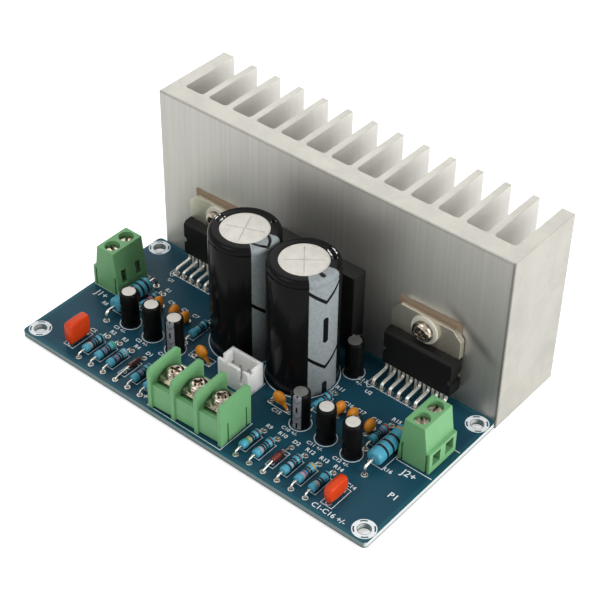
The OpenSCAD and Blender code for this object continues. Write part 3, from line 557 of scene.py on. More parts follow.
# A dark lid; on the inner right small capacitor the darkening is painted shade.
DARK_CAN = Finish("dull_can_top", "can_aluminium", (0.16, 0.16, 0.155), (0.08, 0.08, 0.078), 0.5, metal=0.1,
                  mottle_scale=700.0, bump=0.003)
SLEEVE = plastic("black_sleeve", "sleeve_black", (0.0055, 0.0055, 0.0055), 0.2, specular=0.06,
                 mottle_scale=400.0, bump=0.003)
FILM = plastic("red_dip", "film_epoxy", (0.57, 0.047, 0.007), 0.22, mottle_scale=350.0, grain_scale=1300.0,
               bump=0.04, specular=0.16)
DIP = plastic("orange_dip", "ceramic_epoxy", (0.66, 0.235, 0.02), 0.28, mottle_scale=500.0,
              grain_scale=1300.0, bump=0.02)
LACQUER = plastic("blue_lacquer", "resistor_lacquer", (0.062, 0.3, 0.415), 0.28, mottle_scale=700.0)
# The red glass darkened as painted shade, for the left diode that sits in shadow.
SHADED_GLASS = plastic("dark_glass", "diode_glass", (0.055, 0.014, 0.011), 0.15, coat=0.4, mottle_scale=900.0)
GLASS = plastic("red_glass", "diode_glass", (0.14, 0.018, 0.011), 0.12, coat=0.4, mottle_scale=900.0)
NYLON = plastic("white_nylon", "header_nylon", (0.84, 0.84, 0.82), 0.5, soft=1.0, depth=2.5)
GREEN = plastic("green_housing", "terminal_green", (0.145, 0.35, 0.155), 0.45, mottle_scale=260.0,
                mottle=0.35, bump=0.008)
# Plated metal; the dark patches of its strong mottle are painted reflections.
CONTACT = Finish("plated_contact", "contact_metal", (0.6, 0.55, 0.47), (0.15, 0.128, 0.104), 0.26, metal=1.0,
                 mottle=1.0, mottle_scale=1000.0, bump=0.004)


# Modelling


def deselect() -> None:
    """Leaves edit mode and deselects every object."""
    if bpy.context.object is not None and bpy.context.object.mode != "OBJECT":
        bpy.ops.object.mode_set(mode="OBJECT")
    bpy.ops.object.select_all(action="DESELECT")


def activate(piece: Piece) -> None:
    """Makes a piece the only selected one and the active one."""
    deselect()
    piece.select_set(True)
    bpy.context.view_layer.objects.active = piece


@contextmanager
def editing(piece: Piece, choose: str = "SELECT") -> Iterator[Piece]:
    """Opens a piece in edit mode.

    Args:
        piece: Mesh object to edit.
        choose: Selection to start with, SELECT for all or DESELECT for none.

    Yields:
        The piece, in edit mode.
    """
    activate(piece)
    bpy.ops.object.mode_set(mode="EDIT")
    bpy.ops.mesh.select_all(action=choose)
    yield piece
    bpy.ops.object.mode_set(mode="OBJECT")


def modified(piece: Piece, kind: str, **settings: Any) -> Piece:
    """Adds a modifier, sets it and applies it.

    Args:
        piece: Mesh object that takes the modifier.
        kind: Type of the modifier.
        settings: Its properties.

    Returns:
        The piece.
    """
    activate(piece)
    step = piece.modifiers.new(kind.lower(), kind)
    for key, value in settings.items():
        setattr(step, key, value)
    bpy.ops.object.modifier_apply(modifier=step.name)
    return piece


def smoothed(piece: Piece, degrees: float = 35.0) -> Piece:
    """Shades a piece smooth except over edges sharper than the angle."""
    activate(piece)
    bpy.ops.object.shade_smooth_by_angle(angle=math.radians(degrees))
    return piece


def moved(piece: Piece, place: Matrix) -> Piece:
    """Moves the mesh of a piece and leaves its object at the origin."""
    piece.data.transform(place)
    piece.data.update()
    return piece


def shift(x: float, y: float, z: float) -> Matrix:
    """A move by millimetres."""
    return Matrix.Translation(Vector((x, y, z)) * MM)


def spun(degrees: float, axis: str = "Z") -> Matrix:
    """A turn about an axis."""
    return Matrix.Rotation(math.radians(degrees), 4, axis)


def linked(name: str, data: bpy.types.ID) -> Piece:
    """Makes an object and links it to the scene."""
    made = bpy.data.objects.new(name, data)
    bpy.context.scene.collection.objects.link(made)
    return made


def copied(piece: Piece, name: str) -> Piece:
    """Copies a piece with its own mesh and links the copy to the scene."""
    made = piece.copy()
    made.data = piece.data.copy()
    made.name = made.data.name = name
    bpy.context.scene.collection.objects.link(made)
    return made


def joined(pieces: Sequence[Piece], name: str) -> Piece:
    """Joins several pieces into one of the given name."""
    activate(pieces[0])
    for piece in pieces:
        piece.select_set(True)
    bpy.ops.object.join()
    pieces[0].name = pieces[0].data.name = name
    return pieces[0]


def removed(piece: Piece) -> None:
    """Deletes a piece that was only a pattern for others."""
    bpy.data.objects.remove(piece, do_unlink=True)


def turned(name: str, profile: Profile, segments: int = 32) -> Piece:
    """Turns a closed body about Z by extruding a disc from ring to ring.

    Args:
        name: Name of the piece.
        profile: Radius and height of each ring, from the bottom up, in millimetres.
        segments: Number of sides.

    Returns:
        The turned piece.
    """
    deselect()
    radius, height = profile[0]
    bpy.ops.mesh.primitive_circle_add(vertices=segments, radius=radius * MM, fill_type="NGON",
                                      location=(0, 0, height * MM), enter_editmode=True)
    for next_radius, next_height in profile[1:]:
        step = (0, 0, (next_height - height) * MM)
        bpy.ops.mesh.extrude_region_move(TRANSFORM_OT_translate={"value": step})
        grow = next_radius / radius
        bpy.ops.transform.resize(value=(grow, grow, 1), center_override=(0, 0, next_height * MM))
        radius, height = next_radius, next_height
    bpy.ops.mesh.select_all(action="SELECT")
    bpy.ops.mesh.normals_make_consistent(inside=False)
    bpy.ops.object.mode_set(mode="OBJECT")
    made = bpy.context.object
    bpy.ops.object.transform_apply(location=True, rotation=True, scale=True)
    made.name = made.data.name = name
    return smoothed(made)


def flat_ring(name: str, rings: Profile, sides: int, flip: bool = False) -> Piece:
    """Extrudes a circle inwards from ring to ring.

    Args:
        name: Name of the piece.
        rings: Radius and height of each ring, from the rim inwards, in millimetres.
        sides: Number of sides.
        flip: Whether the faces are turned over.

    Returns:
        The open ring about the origin.
    """
    deselect()
    radius, height = rings[0]
    bpy.ops.mesh.primitive_circle_add(vertices=sides, radius=radius * MM, fill_type="NOTHING",
                                      enter_editmode=True)
    for next_radius, next_height in rings[1:]:
        step = (0, 0, (next_height - height) * MM)
        bpy.ops.mesh.extrude_edges_move(TRANSFORM_OT_translate={"value": step})
        grow = next_radius / radius
        bpy.ops.transform.resize(value=(grow, grow, 1), center_override=(0, 0, 0))
        radius, height = next_radius, next_height
    bpy.ops.mesh.select_all(action="SELECT")
    if flip:
        bpy.ops.mesh.flip_normals()
    bpy.ops.object.mode_set(mode="OBJECT")
    made = bpy.context.object
    made.name = name
    return made


def drawn(name: str, lines: Sequence[tuple[Sequence[Sequence[float]], bool]], radius: float, resolution: int,
          tilt: float = 0.0, caps: bool = False) -> Piece:
    """Draws lines of a given thickness and turns them into one mesh.

    Args:
        name: Name of the piece.
        lines: Points of each line, in millimetres, and whether it is closed.
        radius: Half the thickness of the lines.
        resolution: Steps of their rounding.
        tilt: Turn of the section about the line.
        caps: Whether open ends are filled.

    Returns:
        The mesh of all lines.
    """
    curve = bpy.data.curves.new(name, "CURVE")
    curve.dimensions, curve.use_fill_caps = "3D", caps
    curve.bevel_depth, curve.bevel_resolution = radius * MM, resolution
    for points, closed in lines:
        spline = curve.splines.new("POLY")
        spline.points.add(len(points) - 1)
        spline.use_cyclic_u = closed
        for point, spot in zip(spline.points, points):
            point.co = (*(Vector(spot) * MM), 1.0)
            point.tilt = tilt
    activate(linked(name, curve))
    bpy.ops.object.convert(target="MESH")
    return bpy.context.object


def rounded_path(points: Sequence[Vector], bend: float, steps: int = 5) -> list[Vector]:
    """Rounds the corners of a path.

    Args:
        points: Corners of the path, in millimetres.
        bend: Bend radius, for right-angled corners.
        steps: Number of straight pieces in a bend.

    Returns:
        The points of the rounded path.
    """
    path = [points[0]]
    for before, corner, after in zip(points, points[1:], points[2:]):
        back, on = (before - corner).normalized(), (after - corner).normalized()
        for step in range(steps + 1):
            share = step / steps
            path.append(corner + back * bend * (1 - share) ** 2 + on * bend * share ** 2)
    return path + [points[-1]]


def wire(name: str, points: Sequence[Sequence[float]], thick: float, bend: float = 0.8,
         wide: float | None = None) -> Piece:
    """Bends a round or flat wire through points.

    Args:
        name: Name of the piece.
        points: Corners of its centre line, in millimetres.
        thick: Diameter of the wire.
        bend: Radius of its bends.
        wide: Width along X of a flat wire that is bent about X.

    Returns:
        The wire as a closed mesh.
    """
    line = (rounded_path([Vector(p) for p in points], bend), False)
    if wide is None:
        return smoothed(drawn(name, [line], thick / 2, 2, caps=True), 60.0)
    square = drawn(name, [line], thick / 2 * math.sqrt(2), 0, tilt=math.pi / 4, caps=True)
    return smoothed(moved(square, Matrix.Diagonal((wide / thick, 1, 1, 1))), 60.0)


def node_copy(node: str, name: str) -> Piece:
    """Copies a solid and merges its loose triangles.

    Args:
        node: Name of the solid.
        name: Name of the copy.

    Returns:
        The copy, free of the solid's body, with flat faces dissolved.
    """
    made = copied(frame["nodes"][node], name)
    made.parent = None
    made.matrix_world = Matrix.Identity(4)
    for key in list(made.keys()):
        del made[key]
    activate(made)
    bpy.ops.mesh.customdata_custom_splitnormals_clear()
    with editing(made):
        bpy.ops.mesh.remove_doubles(threshold=0.002 * MM)
        bpy.ops.mesh.dissolve_limited(angle_limit=math.radians(0.6))
    return made


def loose_boxes(node: str) -> list[tuple[Vector, Vector]]:
    """Finds the separate solids of a node.

    Args:
        node: Name of the node.

    Returns:
        Lowest and highest corner of each solid, in millimetres, from left to right.
    """
    probe = node_copy(node, "probe")
    with editing(probe):
        bpy.ops.mesh.separate(type="LOOSE")
    boxes = []
    for part in list(bpy.context.selected_objects):
        corners = [v.co / MM for v in part.data.vertices]
        boxes.append(tuple(Vector(pick(c[i] for c in corners) for i in range(3)) for pick in (min, max)))
        removed(part)
    return sorted(boxes, key=lambda box: (round(box[0].x, 3), box[0].y))


def box_mm(node: str) -> tuple[Vector, Vector]:
    """Lowest and highest corner of a node at rest, in millimetres."""
    return tuple(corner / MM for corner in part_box(node))


def middle_of(box: tuple[Vector, Vector]) -> Spot:
    """Middle of a box, seen from above."""
    low, high = box
    return (low.x + high.x) / 2, (low.y + high.y) / 2


def dress(piece: Piece, *finishes: Finish) -> Piece:
    """Gives a piece one material slot for each finish."""
    piece.data.materials.clear()
    for finish in finishes:
        piece.data.materials.append(finish.material())
    return piece


def install(piece: Piece, slot: str, *nodes: str, body: str = ROOT) -> None:
    """Sets a finished piece on its body, in place of the solids that it stands for.

    Args:
        piece: The piece, dressed and in place.
        slot: Material slot of the record; not used.
        nodes: Solids that it replaces.
        body: Body that it rides on.
    """
    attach(piece, body)
    if nodes:
        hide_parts(*nodes)
    log.info("%s rides on %s, %d faces", piece.name, body, len(piece.data.polygons))


def paint(piece: Piece, choose: Callable[[Vector], int]) -> None:
    """Sets the material slot of each face from its centre in millimetres."""
    for face in piece.data.polygons:
        face.material_index = choose(face.center / MM)


def rounded_node(node: str, finish: Finish, edge: float, segments: int = 2) -> None:
    """Replaces a solid by a copy with rounded edges that rides on the solid's body.

    Args:
        node: Name of the solid.
        finish: Finish of the copy.
        edge: Radius of its edges, in millimetres, or 0 for sharp ones.
        segments: Number of faces over an edge.
    """
    made = node_copy(node, f"{node}_finished")
    if edge:
        modified(made, "BEVEL", width=edge * MM, segments=segments, limit_method="ANGLE",
                 angle_limit=math.radians(32), use_clamp_overlap=False, harden_normals=False)
    modified(smoothed(made, 40.0), "WEIGHTED_NORMAL", keep_sharp=True, weight=60)
    dress(made, finish)
    install(made, finish.slot, node, body=frame["nodes"][node]["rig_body"])


# The white print


def lettering(text: str, height: float, thick: float, bold: float) -> Piece:
    """Makes flat letters about the origin.

    Args:
        text: The letters.
        height: Height of the capitals, in millimetres.
        thick: Thickness of the ink.
        bold: How far the strokes are widened.

    Returns:
        The letters as a mesh, readable from above along X.
    """
    deselect()
    bpy.ops.object.text_add()
    letters = bpy.context.object.data
    letters.body = text
    letters.size = height * FONT_RATIO * MM
    letters.align_x, letters.align_y = "CENTER", "CENTER"
    letters.resolution_u = 2
    letters.offset = bold * MM
    letters.extrude = thick / 2 * MM
    bpy.ops.object.convert(target="MESH")
    return bpy.context.object


@dataclass
class BoardPrint:
    """The white print on the board: outlines, circles and designators."""

    line: float = 0.25
    thick: float = 0.03
    bold: float = 0.02
    text_height: float = 1.18
    strokes: list[tuple[list[RGB], bool]] = field(default_factory=list)
    labels: list[Piece] = field(default_factory=list)

    def path(self, *spots: Spot, closed: bool = False) -> None:
        """Adds a line through spots."""
        self.strokes.append(([(*spot, 0.0) for spot in spots], closed))

    def outline(self, middle: Spot, size: Spot) -> None:
        """Adds a rectangle about a spot, of a width along X and a length along Y."""
        (x, y), (w, l) = middle, (side / 2 for side in size)
        self.path((x - w, y - l), (x + w, y - l), (x + w, y + l), (x - w, y + l), closed=True)

    def circle(self, middle: Spot, radius: float, sides: int = 48) -> None:
        """Adds a circle about a spot."""
        x, y = middle
        turns = [2 * math.pi * k / sides for k in range(sides)]
        self.path(*((x + radius * math.cos(a), y + radius * math.sin(a)) for a in turns), closed=True)

    def words(self, text: str, middle: Spot, turn: float = 0.0, height: float | None = None) -> None:
        """Adds a designator.

        Args:
            text: Its letters.
            middle: Spot of its middle.
            turn: Angle of its line from X, in degrees.
            height: Height of its capitals.
        """
        letters = lettering(text, height or self.text_height, self.thick, self.bold)
        self.labels.append(moved(letters, shift(*middle, BOARD_TOP) @ spun(turn)))

    def build(self) -> None:
        """Turns the strokes into flat lines, joins the labels to them and installs the print."""
        strokes = drawn("board_print", self.strokes, self.line / 2, 1)
        moved(strokes, shift(0, 0, BOARD_TOP) @ Matrix.Diagonal((1, 1, self.thick / self.line, 1)))
        pieces = [dress(piece, PRINT) for piece in (strokes, *self.labels)]
        install(joined(pieces, "board_print"), PRINT.slot)


@dataclass
class CircuitBoard:
    """The board with its pads, hole rings and print.

    Outlines are a width along X and a length along Y. A label is an offset from the
    middle of its part, or an offset along X and a Y of its own for parts in a row.
    """

    hole_spots: Sequence[Spot] = ((-52.0, -21.75), (52.0, -21.75), (-52.0, 21.75), (52.0, 21.75))
    hole_ring: Spot = (1.72, 2.92)
    dash_ring: Spot = (2.28, 2.66)
    dash_half_angle: float = 20.0
    dash_turn: float = 40.0
    ring_sides: int = 72
    ring_thick: float = 0.03
    pad_rise: float = 0.05
    pad_margin: float = 0.12
    pad_overlap: float = 0.25
    foot_margin: float = 0.25
    pad_sides: int = 16
    row_y: float = -17.8
    row_outline: Spot = (2.3, 6.2)
    row_label_y: float = -11.0
    inner_outline: Spot = (1.9, 6.4)
    inner_label_y: float = 10.1
    diode_bar_y: float = -15.6
    diode_signs_y: float = -18.4
    diode_text: float = 1.1
    power_outline: Spot = (4.2, 10.5)
    power_label_x: Spot = (-5.1, 3.2)
    power_label_y: float = -4.2
    small_circle: float = 2.75
    small_label: Spot = (-0.4, -9.0)
    small_text: float = 1.05
    supply_labels: tuple[Spot, Spot] = ((3.4, -0.8), (3.4, -2.4))
    supply_text: float = 1.2
    filter_circle: float = 9.4
    film_y: float = -18.25
    film_outline: Spot = (3.2, 7.1)
    film_label: Spot = (0.6, -13.6)
    ceramic_spot: Spot = (12.95, -3.5)
    ceramic_outline: Spot = (6.9, 2.6)
    ceramic_label: Spot = (0.3, -5.9)
    ceramic_row: Sequence[float] = (25.0, 28.7, 33.4)
    ceramic_row_y: float = 7.1
    chip_half: float = 11.0
    chip_back: float = 20.5
    chip_front: float = 15.9
    chip_label: Spot = (-8.6, 13.6)
    terminal_near: float = 44.8
    terminal_far: float = 54.5
    terminal_long: float = 11.2
    terminal_label_x: Spot = (-49.8, 49.7)
    terminal_label_y: float = -2.2
    terminal_text: float = 2.0
    outlines: Sequence[tuple[Spot, Spot]] = (
        ((MIRROR_X, -18.6), (23.4, 11.4)), ((MIRROR_X, -3.5), (10.0, 6.2)))
    notes: Sequence[tuple[str, Spot, float]] = (
        ("+", (-14.4, -22.6), 1.8), ("P1", (51.0, -9.9), 1.8), ("C1-C16 +/-", (43.0, -23.3), 1.45))
    counts: dict[str, int] = field(default_factory=dict)

    def build(self) -> None:
        """Dresses the board and adds its pads and print."""
        for node, finish in (("circuit_board", MASK), ("solder_joints", SOLDER)):
            solid = frame["nodes"][node]
            solid.material_slots[0].link = "OBJECT"
            solid.material_slots[0].material = finish.material()
            log.info("%s takes %s", node, finish.name)
        self.pads()
        self.hole_rings()
        self.print_marks()

    def pads(self) -> None:
        """Lays a tinned ring round each soldered hole on both faces."""
        pieces = []
        for low, high in loose_boxes("solder_joints"):
            centre, radius = (low + high) / 2, (high.x - low.x) / 2
            inner = radius - self.pad_overlap
            for face, level, way, more in (("top", BOARD_TOP, 1, 0.0), ("foot", 0.0, -1, self.foot_margin)):
                outer, rise = radius + self.pad_margin + more, way * self.pad_rise
                rings = ((outer, 0.0), ((outer * 3 + inner) / 4, rise), ((outer + inner * 3) / 4, rise),
                         (inner, 0.0))
                ring = flat_ring(f"pad_{face}", rings, self.pad_sides, flip=way > 0)
                pieces.append(moved(ring, shift(centre.x, centre.y, level)))
        rings = smoothed(joined(pieces, "board_pads"), 50.0)
        install(dress(rings, SOLDER), SOLDER.slot)

    def hole_rings(self) -> None:
        """Lays the dashed white ring round each mounting hole."""
        radii = (self.hole_ring[1], self.dash_ring[1], self.dash_ring[0], self.hole_ring[0])
        pattern = flat_ring("hole_ring", [(radius, 0.0) for radius in radii], self.ring_sides)
        with editing(pattern, "DESELECT"):
            bpy.ops.mesh.select_mode(type="FACE")
        for face in pattern.data.polygons:
            face.select = self.in_dash(face.center / MM)
        bpy.ops.object.mode_set(mode="EDIT")
        bpy.ops.mesh.delete(type="FACE")
        bpy.ops.object.mode_set(mode="OBJECT")
        rings = [moved(copied(pattern, "hole_ring"), shift(*spot, BOARD_TOP)) for spot in self.hole_spots]
        removed(pattern)
        made = joined(rings, "hole_rings")
        with editing(made):
            bpy.ops.mesh.normals_make_consistent(inside=False)
        modified(made, "SOLIDIFY", thickness=self.ring_thick * MM, offset=0.0)
        install(dress(made, PRINT), PRINT.slot)

    def in_dash(self, centre: Vector) -> bool:
        """Says whether a face of a hole ring lies in one of its four gaps."""
        off = (math.degrees(math.atan2(centre.y, centre.x)) - self.dash_turn) % 90.0
        between = self.dash_ring[0] < centre.length < self.dash_ring[1]
        return between and min(off, 90.0 - off) < self.dash_half_angle

    def print_marks(self) -> None:
        """Draws the outlines and designators of every part."""
        ink = BoardPrint()
        for side in Side:
            self.row_marks(ink, side)
            self.capacitor_marks(ink, side)
            self.connector_marks(ink, side)
        for middle, size in self.outlines:
            ink.outline(middle, size)
        for text, spot, height in self.notes:
            ink.words(text, spot, height=height)
        ink.build()

    def next_name(self, letter: str) -> str:
        """Gives the next designator that starts with a letter."""
        self.counts[letter] = self.counts.get(letter, 0) + 1
        return f"{letter}{self.counts[letter]}"

    def row_marks(self, ink: BoardPrint, side: Side) -> None:
        """Marks the resistors and the diode of one side."""
        for box in loose_boxes(f"resistors_{side.word}"):
            x, y = middle_of(box)
            if y < self.row_label_y:
                ink.outline((x, self.row_y), self.row_outline)
                ink.words(self.next_name("R"), (x, self.row_label_y))
            else:
                ink.outline((x, y), self.inner_outline)
                ink.words(self.next_name("R"), (x, self.inner_label_y))
        x, _ = middle_of(box_mm(f"diode_{side.word}"))
        half = self.row_outline[0] / 2
        ink.outline((x, self.row_y), self.row_outline)
        ink.path((x - half, self.diode_bar_y), (x + half, self.diode_bar_y))
        ink.words("D +/-", (x, self.diode_signs_y), turn=90.0, height=self.diode_text)
        ink.words(self.next_name("D"), (x, self.row_label_y))
        x, y = middle_of(box_mm(f"power_resistor_{side.word}"))
        ink.outline((x, y), self.power_outline)
        ink.words(self.next_name("R"), (x + side.pick(self.power_label_x), self.power_label_y))

    def capacitor_marks(self, ink: BoardPrint, side: Side) -> None:
        """Marks the capacitors of one side."""
        for place in PLACES:
            x, y = middle_of(box_mm(f"small_capacitor_{side.word}_{place}"))
            ink.circle((x, y), self.small_circle)
            label = (x + self.small_label[0], self.small_label[1])
            ink.words(f"{self.next_name('C')} +/-", label, height=self.small_text)
        x, y = middle_of(box_mm(f"supply_capacitor_{side.word}"))
        ink.circle((x, y), self.small_circle)
        for text, (over, up) in zip((self.next_name("C"), "+/-"), self.supply_labels):
            ink.words(text, (x + over, y + up), height=self.supply_text)
        ink.circle(middle_of(box_mm(f"filter_can_{side.word}")), self.filter_circle)
        film = middle_of(box_mm(f"film_capacitor_{side.word}"))[0]
        ceramic = MIRROR_X + side.value * self.ceramic_spot[0]
        for x, y, size, label in ((film, self.film_y, self.film_outline, self.film_label),
                                  (ceramic, self.ceramic_spot[1], self.ceramic_outline, self.ceramic_label)):
            ink.outline((x, y), size)
            ink.words(self.next_name("C"), (x + label[0], label[1]))
        for offset in self.ceramic_row:
            ink.words(self.next_name("C"), (MIRROR_X + side.value * offset, self.ceramic_row_y))

    def connector_marks(self, ink: BoardPrint, side: Side) -> None:
        """Marks the chip and the output terminal of one side."""
        x, _ = middle_of(box_mm(f"chip_moulding_{side.word}"))
        left, right, back, front = x - self.chip_half, x + self.chip_half, self.chip_back, self.chip_front
        ink.path((left, back), (left, front), (right, front), (right, back))
        ink.path((left, front), (left + 1, front - 1), (left + 2, front))
        ink.words(self.next_name("U"), (x + self.chip_label[0], self.chip_label[1]))
        near, far = MIRROR_X + side.value * self.terminal_near, side.value * self.terminal_far
        ink.path((far, 0.0), (near, 0.0), (near, self.terminal_long), (far, self.terminal_long))
        label = (side.pick(self.terminal_label_x), self.terminal_label_y)
        ink.words(f"{self.next_name('J')}+", label, height=self.terminal_text)


# Pieces screwed to the heatsink


@dataclass
class HeatsinkGroup:
    """The heatsink with the chips and the rectifier on it."""

    sink_edge: float = 0.25
    moulding_edge: float = 0.22
    small_edge: float = 0.08
    pad_edge: float = 0.04
    bush_edge: float = 0.15
    lead_thick: float = 0.5
    lead_bend: float = 0.85
    lead_exit: float = 2.9
    lead_drop: float = 0.4

    def build(self) -> None:
        """Rounds the copies of all pieces of the group."""
        rounded_node("heatsink", SINK, self.sink_edge)
        for side in Side:
            rounded_node(f"chip_moulding_{side.word}", EPOXY, self.moulding_edge)
            rounded_node(f"chip_tab_{side.word}", TAB, self.small_edge)
            self.leads(side)
            rounded_node(f"insulating_pad_{side.word}", PAD, self.pad_edge, 1)
        rounded_node("rectifier_body", BRIDGE, self.moulding_edge)
        rounded_node("rectifier_leads", TIN, self.small_edge)
        rounded_node("screw_bushes", BUSH, self.bush_edge)
        rounded_node("heatsink_screws", SCREW, self.small_edge)

    def leads(self, side: Side) -> None:
        """Bends the flat leads of one chip from the moulding to their two rows of holes."""
        node, half = f"chip_leads_{side.word}", self.lead_thick / 2
        pieces = []
        for low, high in loose_boxes(node):
            foot, out, bend_z = low.y + half, high.y - half, high.z - self.lead_exit
            bends = [(0, out, bend_z), (0, foot, bend_z - self.lead_drop)] if out - foot > half else []
            lead = wire("lead", [(0, out, high.z), *bends, (0, foot, 0)], self.lead_thick, self.lead_bend,
                        high.x - low.x)
            pieces.append(moved(lead, shift((low.x + high.x) / 2, 0, 0)))
        made = dress(joined(pieces, f"{node}_finished"), CHIP_LEAD)
        modified(made, "BEVEL", width=self.small_edge * MM, segments=2, limit_method="ANGLE",
                 angle_limit=math.radians(60))
        install(smoothed(made, 50.0), CHIP_LEAD.slot, node)


# Capacitors


@dataclass
class FilterCapacitor:
    """A large upright can in a printed sleeve, with letters on the rim round its top."""

    side: Side
    tip: float
    bearing: float
    marks: Sequence[tuple[str, float]]
    disc_share: float = 0.684
    lip: float = 0.8
    crease: float = 2.1
    crease_depth: float = 0.12
    shoulder: float = 1.25
    mark_height: float = 1.8
    mark_inset: float = 0.9
    mark_thick: float = 0.02
    mark_bold: float = 0.05

    def build(self) -> None:
        """Turns the sleeve, prints its marks and dresses a sharp-edged copy of the can."""
        sleeve, can = (f"filter_{part}_{self.side.word}" for part in ("sleeve", "can"))
        low, high = box_mm(sleeve)
        radius, top, centre = (high.x - low.x) / 2, high.z - low.z, middle_of((low, high))
        disc = radius * self.disc_share
        cut, waist = top - self.crease, radius - self.crease_depth
        arc = [(radius - self.shoulder * (1 - math.cos(a)), top - self.shoulder * (1 - math.sin(a)))
               for a in (math.radians(k) for k in range(0, 91, 15))]
        profile = [(disc, 0.0), (radius - 0.1, 0.0), (radius, 0.15), (radius, cut - 0.45),
                   (waist, cut - 0.15), (waist, cut + 0.1), (radius, cut + 0.4), *arc,
                   (disc + 0.5, top), (disc + 0.12, top - 0.02), (disc, top - 0.1), (disc, top - self.lip)]
        made = moved(turned(f"{sleeve}_finished", profile, 72), shift(*centre, low.z))
        dress(made, sleeve_finish(f"printed_sleeve_{self.side.word}", axis=centre, tip=low.z + self.tip,
                                  radius=radius, bearing=self.bearing))
        rim = shift(*centre, high.z - self.mark_thick / 2)
        outward = shift(0, disc + self.mark_inset, 0)
        inked = []
        for text, turn in self.marks:
            letters = lettering(text, self.mark_height, self.mark_thick, self.mark_bold)
            inked.append(dress(moved(letters, rim @ spun(turn - 90) @ outward), PRINT))
        install(joined([made, *inked], made.name), SLEEVE.slot, sleeve)
        rounded_node(can, CAN, 0.0)


@dataclass
class SmallCapacitor:
    """A small sleeved can with a silver top and a stripe.

    The rings of the sleeve are insets and heights, from the board up and from the top down.
    """

    node: str
    bearing: float = 120.0
    lid: Finish = CAN
    rim: float = 0.26
    sunk: float = 0.12
    lower: Profile = ((0.3, 0.0), (0.06, 0.1), (0.0, 0.3), (0.0, 1.1), (0.08, 1.4), (0.08, 1.62),
                      (0.0, 1.95))
    upper: Profile = ((0.0, 0.62), (0.07, 0.3), (0.22, 0.09), (0.42, 0.0))
    leg_share: float = 0.4
    tip: float = 3.4

    def build(self) -> None:
        """Turns the can and paints its top."""
        low, high = box_mm(self.node)
        radius, top, centre = (high.x - low.x) / 2, high.z - BOARD_TOP, middle_of((low, high))
        disc, floor = radius * (1 - self.rim), top - self.sunk
        profile = [*((radius - inset, height) for inset, height in self.lower),
                   *((radius - inset, top - drop) for inset, drop in self.upper),
                   (disc + 0.06, top - 0.02), (disc, top - 0.05), (disc - 0.01, floor),
                   (disc - 0.16, floor + 0.03), (disc * 0.4, floor + 0.05)]
        made = turned(f"{self.node}_finished", profile, 40)
        print_on = sleeve_finish(
            f"printed_{self.node}", axis=centre, tip=BOARD_TOP + self.tip, radius=radius,
            bearing=self.bearing, half_width=1.15, pitch=4.9, line=0.22, slot_length=1.3, slot_radius=0.25,
            ink=(0.2, 0.21, 0.23))
        dress(made, print_on, self.lid)
        paint(made, lambda c: int(c.z > top - 0.3 and math.hypot(c.x, c.y) < disc - 0.004))
        legs_at = [way * radius * self.leg_share for way in (-1, 1)]
        legs = [dress(wire("leg", [(x, 0, -BOARD_TOP), (x, 0, 0.2)], LEG_THICK), TIN) for x in legs_at]
        made = joined([made, *legs], made.name)
        install(moved(made, shift(*centre, BOARD_TOP)), SLEEVE.slot, self.node)


def dipped(name: str, shapes: Sequence[Piece], voxel: float) -> Piece:
    """Melts several shapes into one dipped coating.

    Args:
        name: Name of the piece.
        shapes: Overlapping closed shapes.
        voxel: Size of the steps of the remesh, in millimetres.

    Returns:
        The smooth coating.
    """
    made = joined(shapes, name)
    modified(made, "REMESH", mode="VOXEL", voxel_size=voxel * MM, use_smooth_shade=True)
    modified(made, "SMOOTH", factor=0.5, iterations=6)
    return smoothed(made, 180.0)


@dataclass
class FilmCapacitor:
    """A dipped box with two legs."""

    side: Side
    bulges: Spot = (0.24, 0.5)
    lift: float = 0.4
    leg_share: float = 0.35
    skirt: Profile = ((0.34, 0.05), (0.42, 0.3), (0.75, 0.9), (0.9, 1.8))
    voxel: float = 0.14

    def build(self) -> None:
        """Shapes the box, runs its skirts down the legs and dips it."""
        node = f"film_capacitor_{self.side.word}"
        low, high = box_mm(node)
        wide, long, tall = high.x - low.x, high.y - low.y, high.z - BOARD_TOP - self.lift
        centre = (low + high) / 2
        deselect()
        bpy.ops.mesh.primitive_cube_add(size=MM, enter_editmode=True)
        bpy.ops.mesh.subdivide(number_cuts=7)
        bpy.ops.transform.tosphere(value=self.side.pick(self.bulges), center_override=(0, 0, 0))
        bpy.ops.object.mode_set(mode="OBJECT")
        body = modified(bpy.context.object, "SUBSURF", levels=1)
        reach = max(corner.co.x for corner in body.data.vertices) * 2 / MM
        size = Matrix.Diagonal((wide / reach, long / reach, tall / reach, 1))
        moved(body, shift(0, 0, self.lift + tall / 2) @ size)
        legs_at = [way * long * self.leg_share for way in (-1, 1)]
        skirts = [moved(turned("skirt", self.skirt, 20), shift(0, y, 0)) for y in legs_at]
        coat = dress(dipped(f"{node}_finished", [body, *skirts], self.voxel), FILM)
        legs = [dress(wire("leg", [(0, y, -BOARD_TOP), (0, y, 0.6)], LEG_THICK), TIN) for y in legs_at]
        made = joined([coat, *legs], coat.name)
        install(moved(made, shift(centre.x, centre.y, BOARD_TOP)), FILM.slot, node)


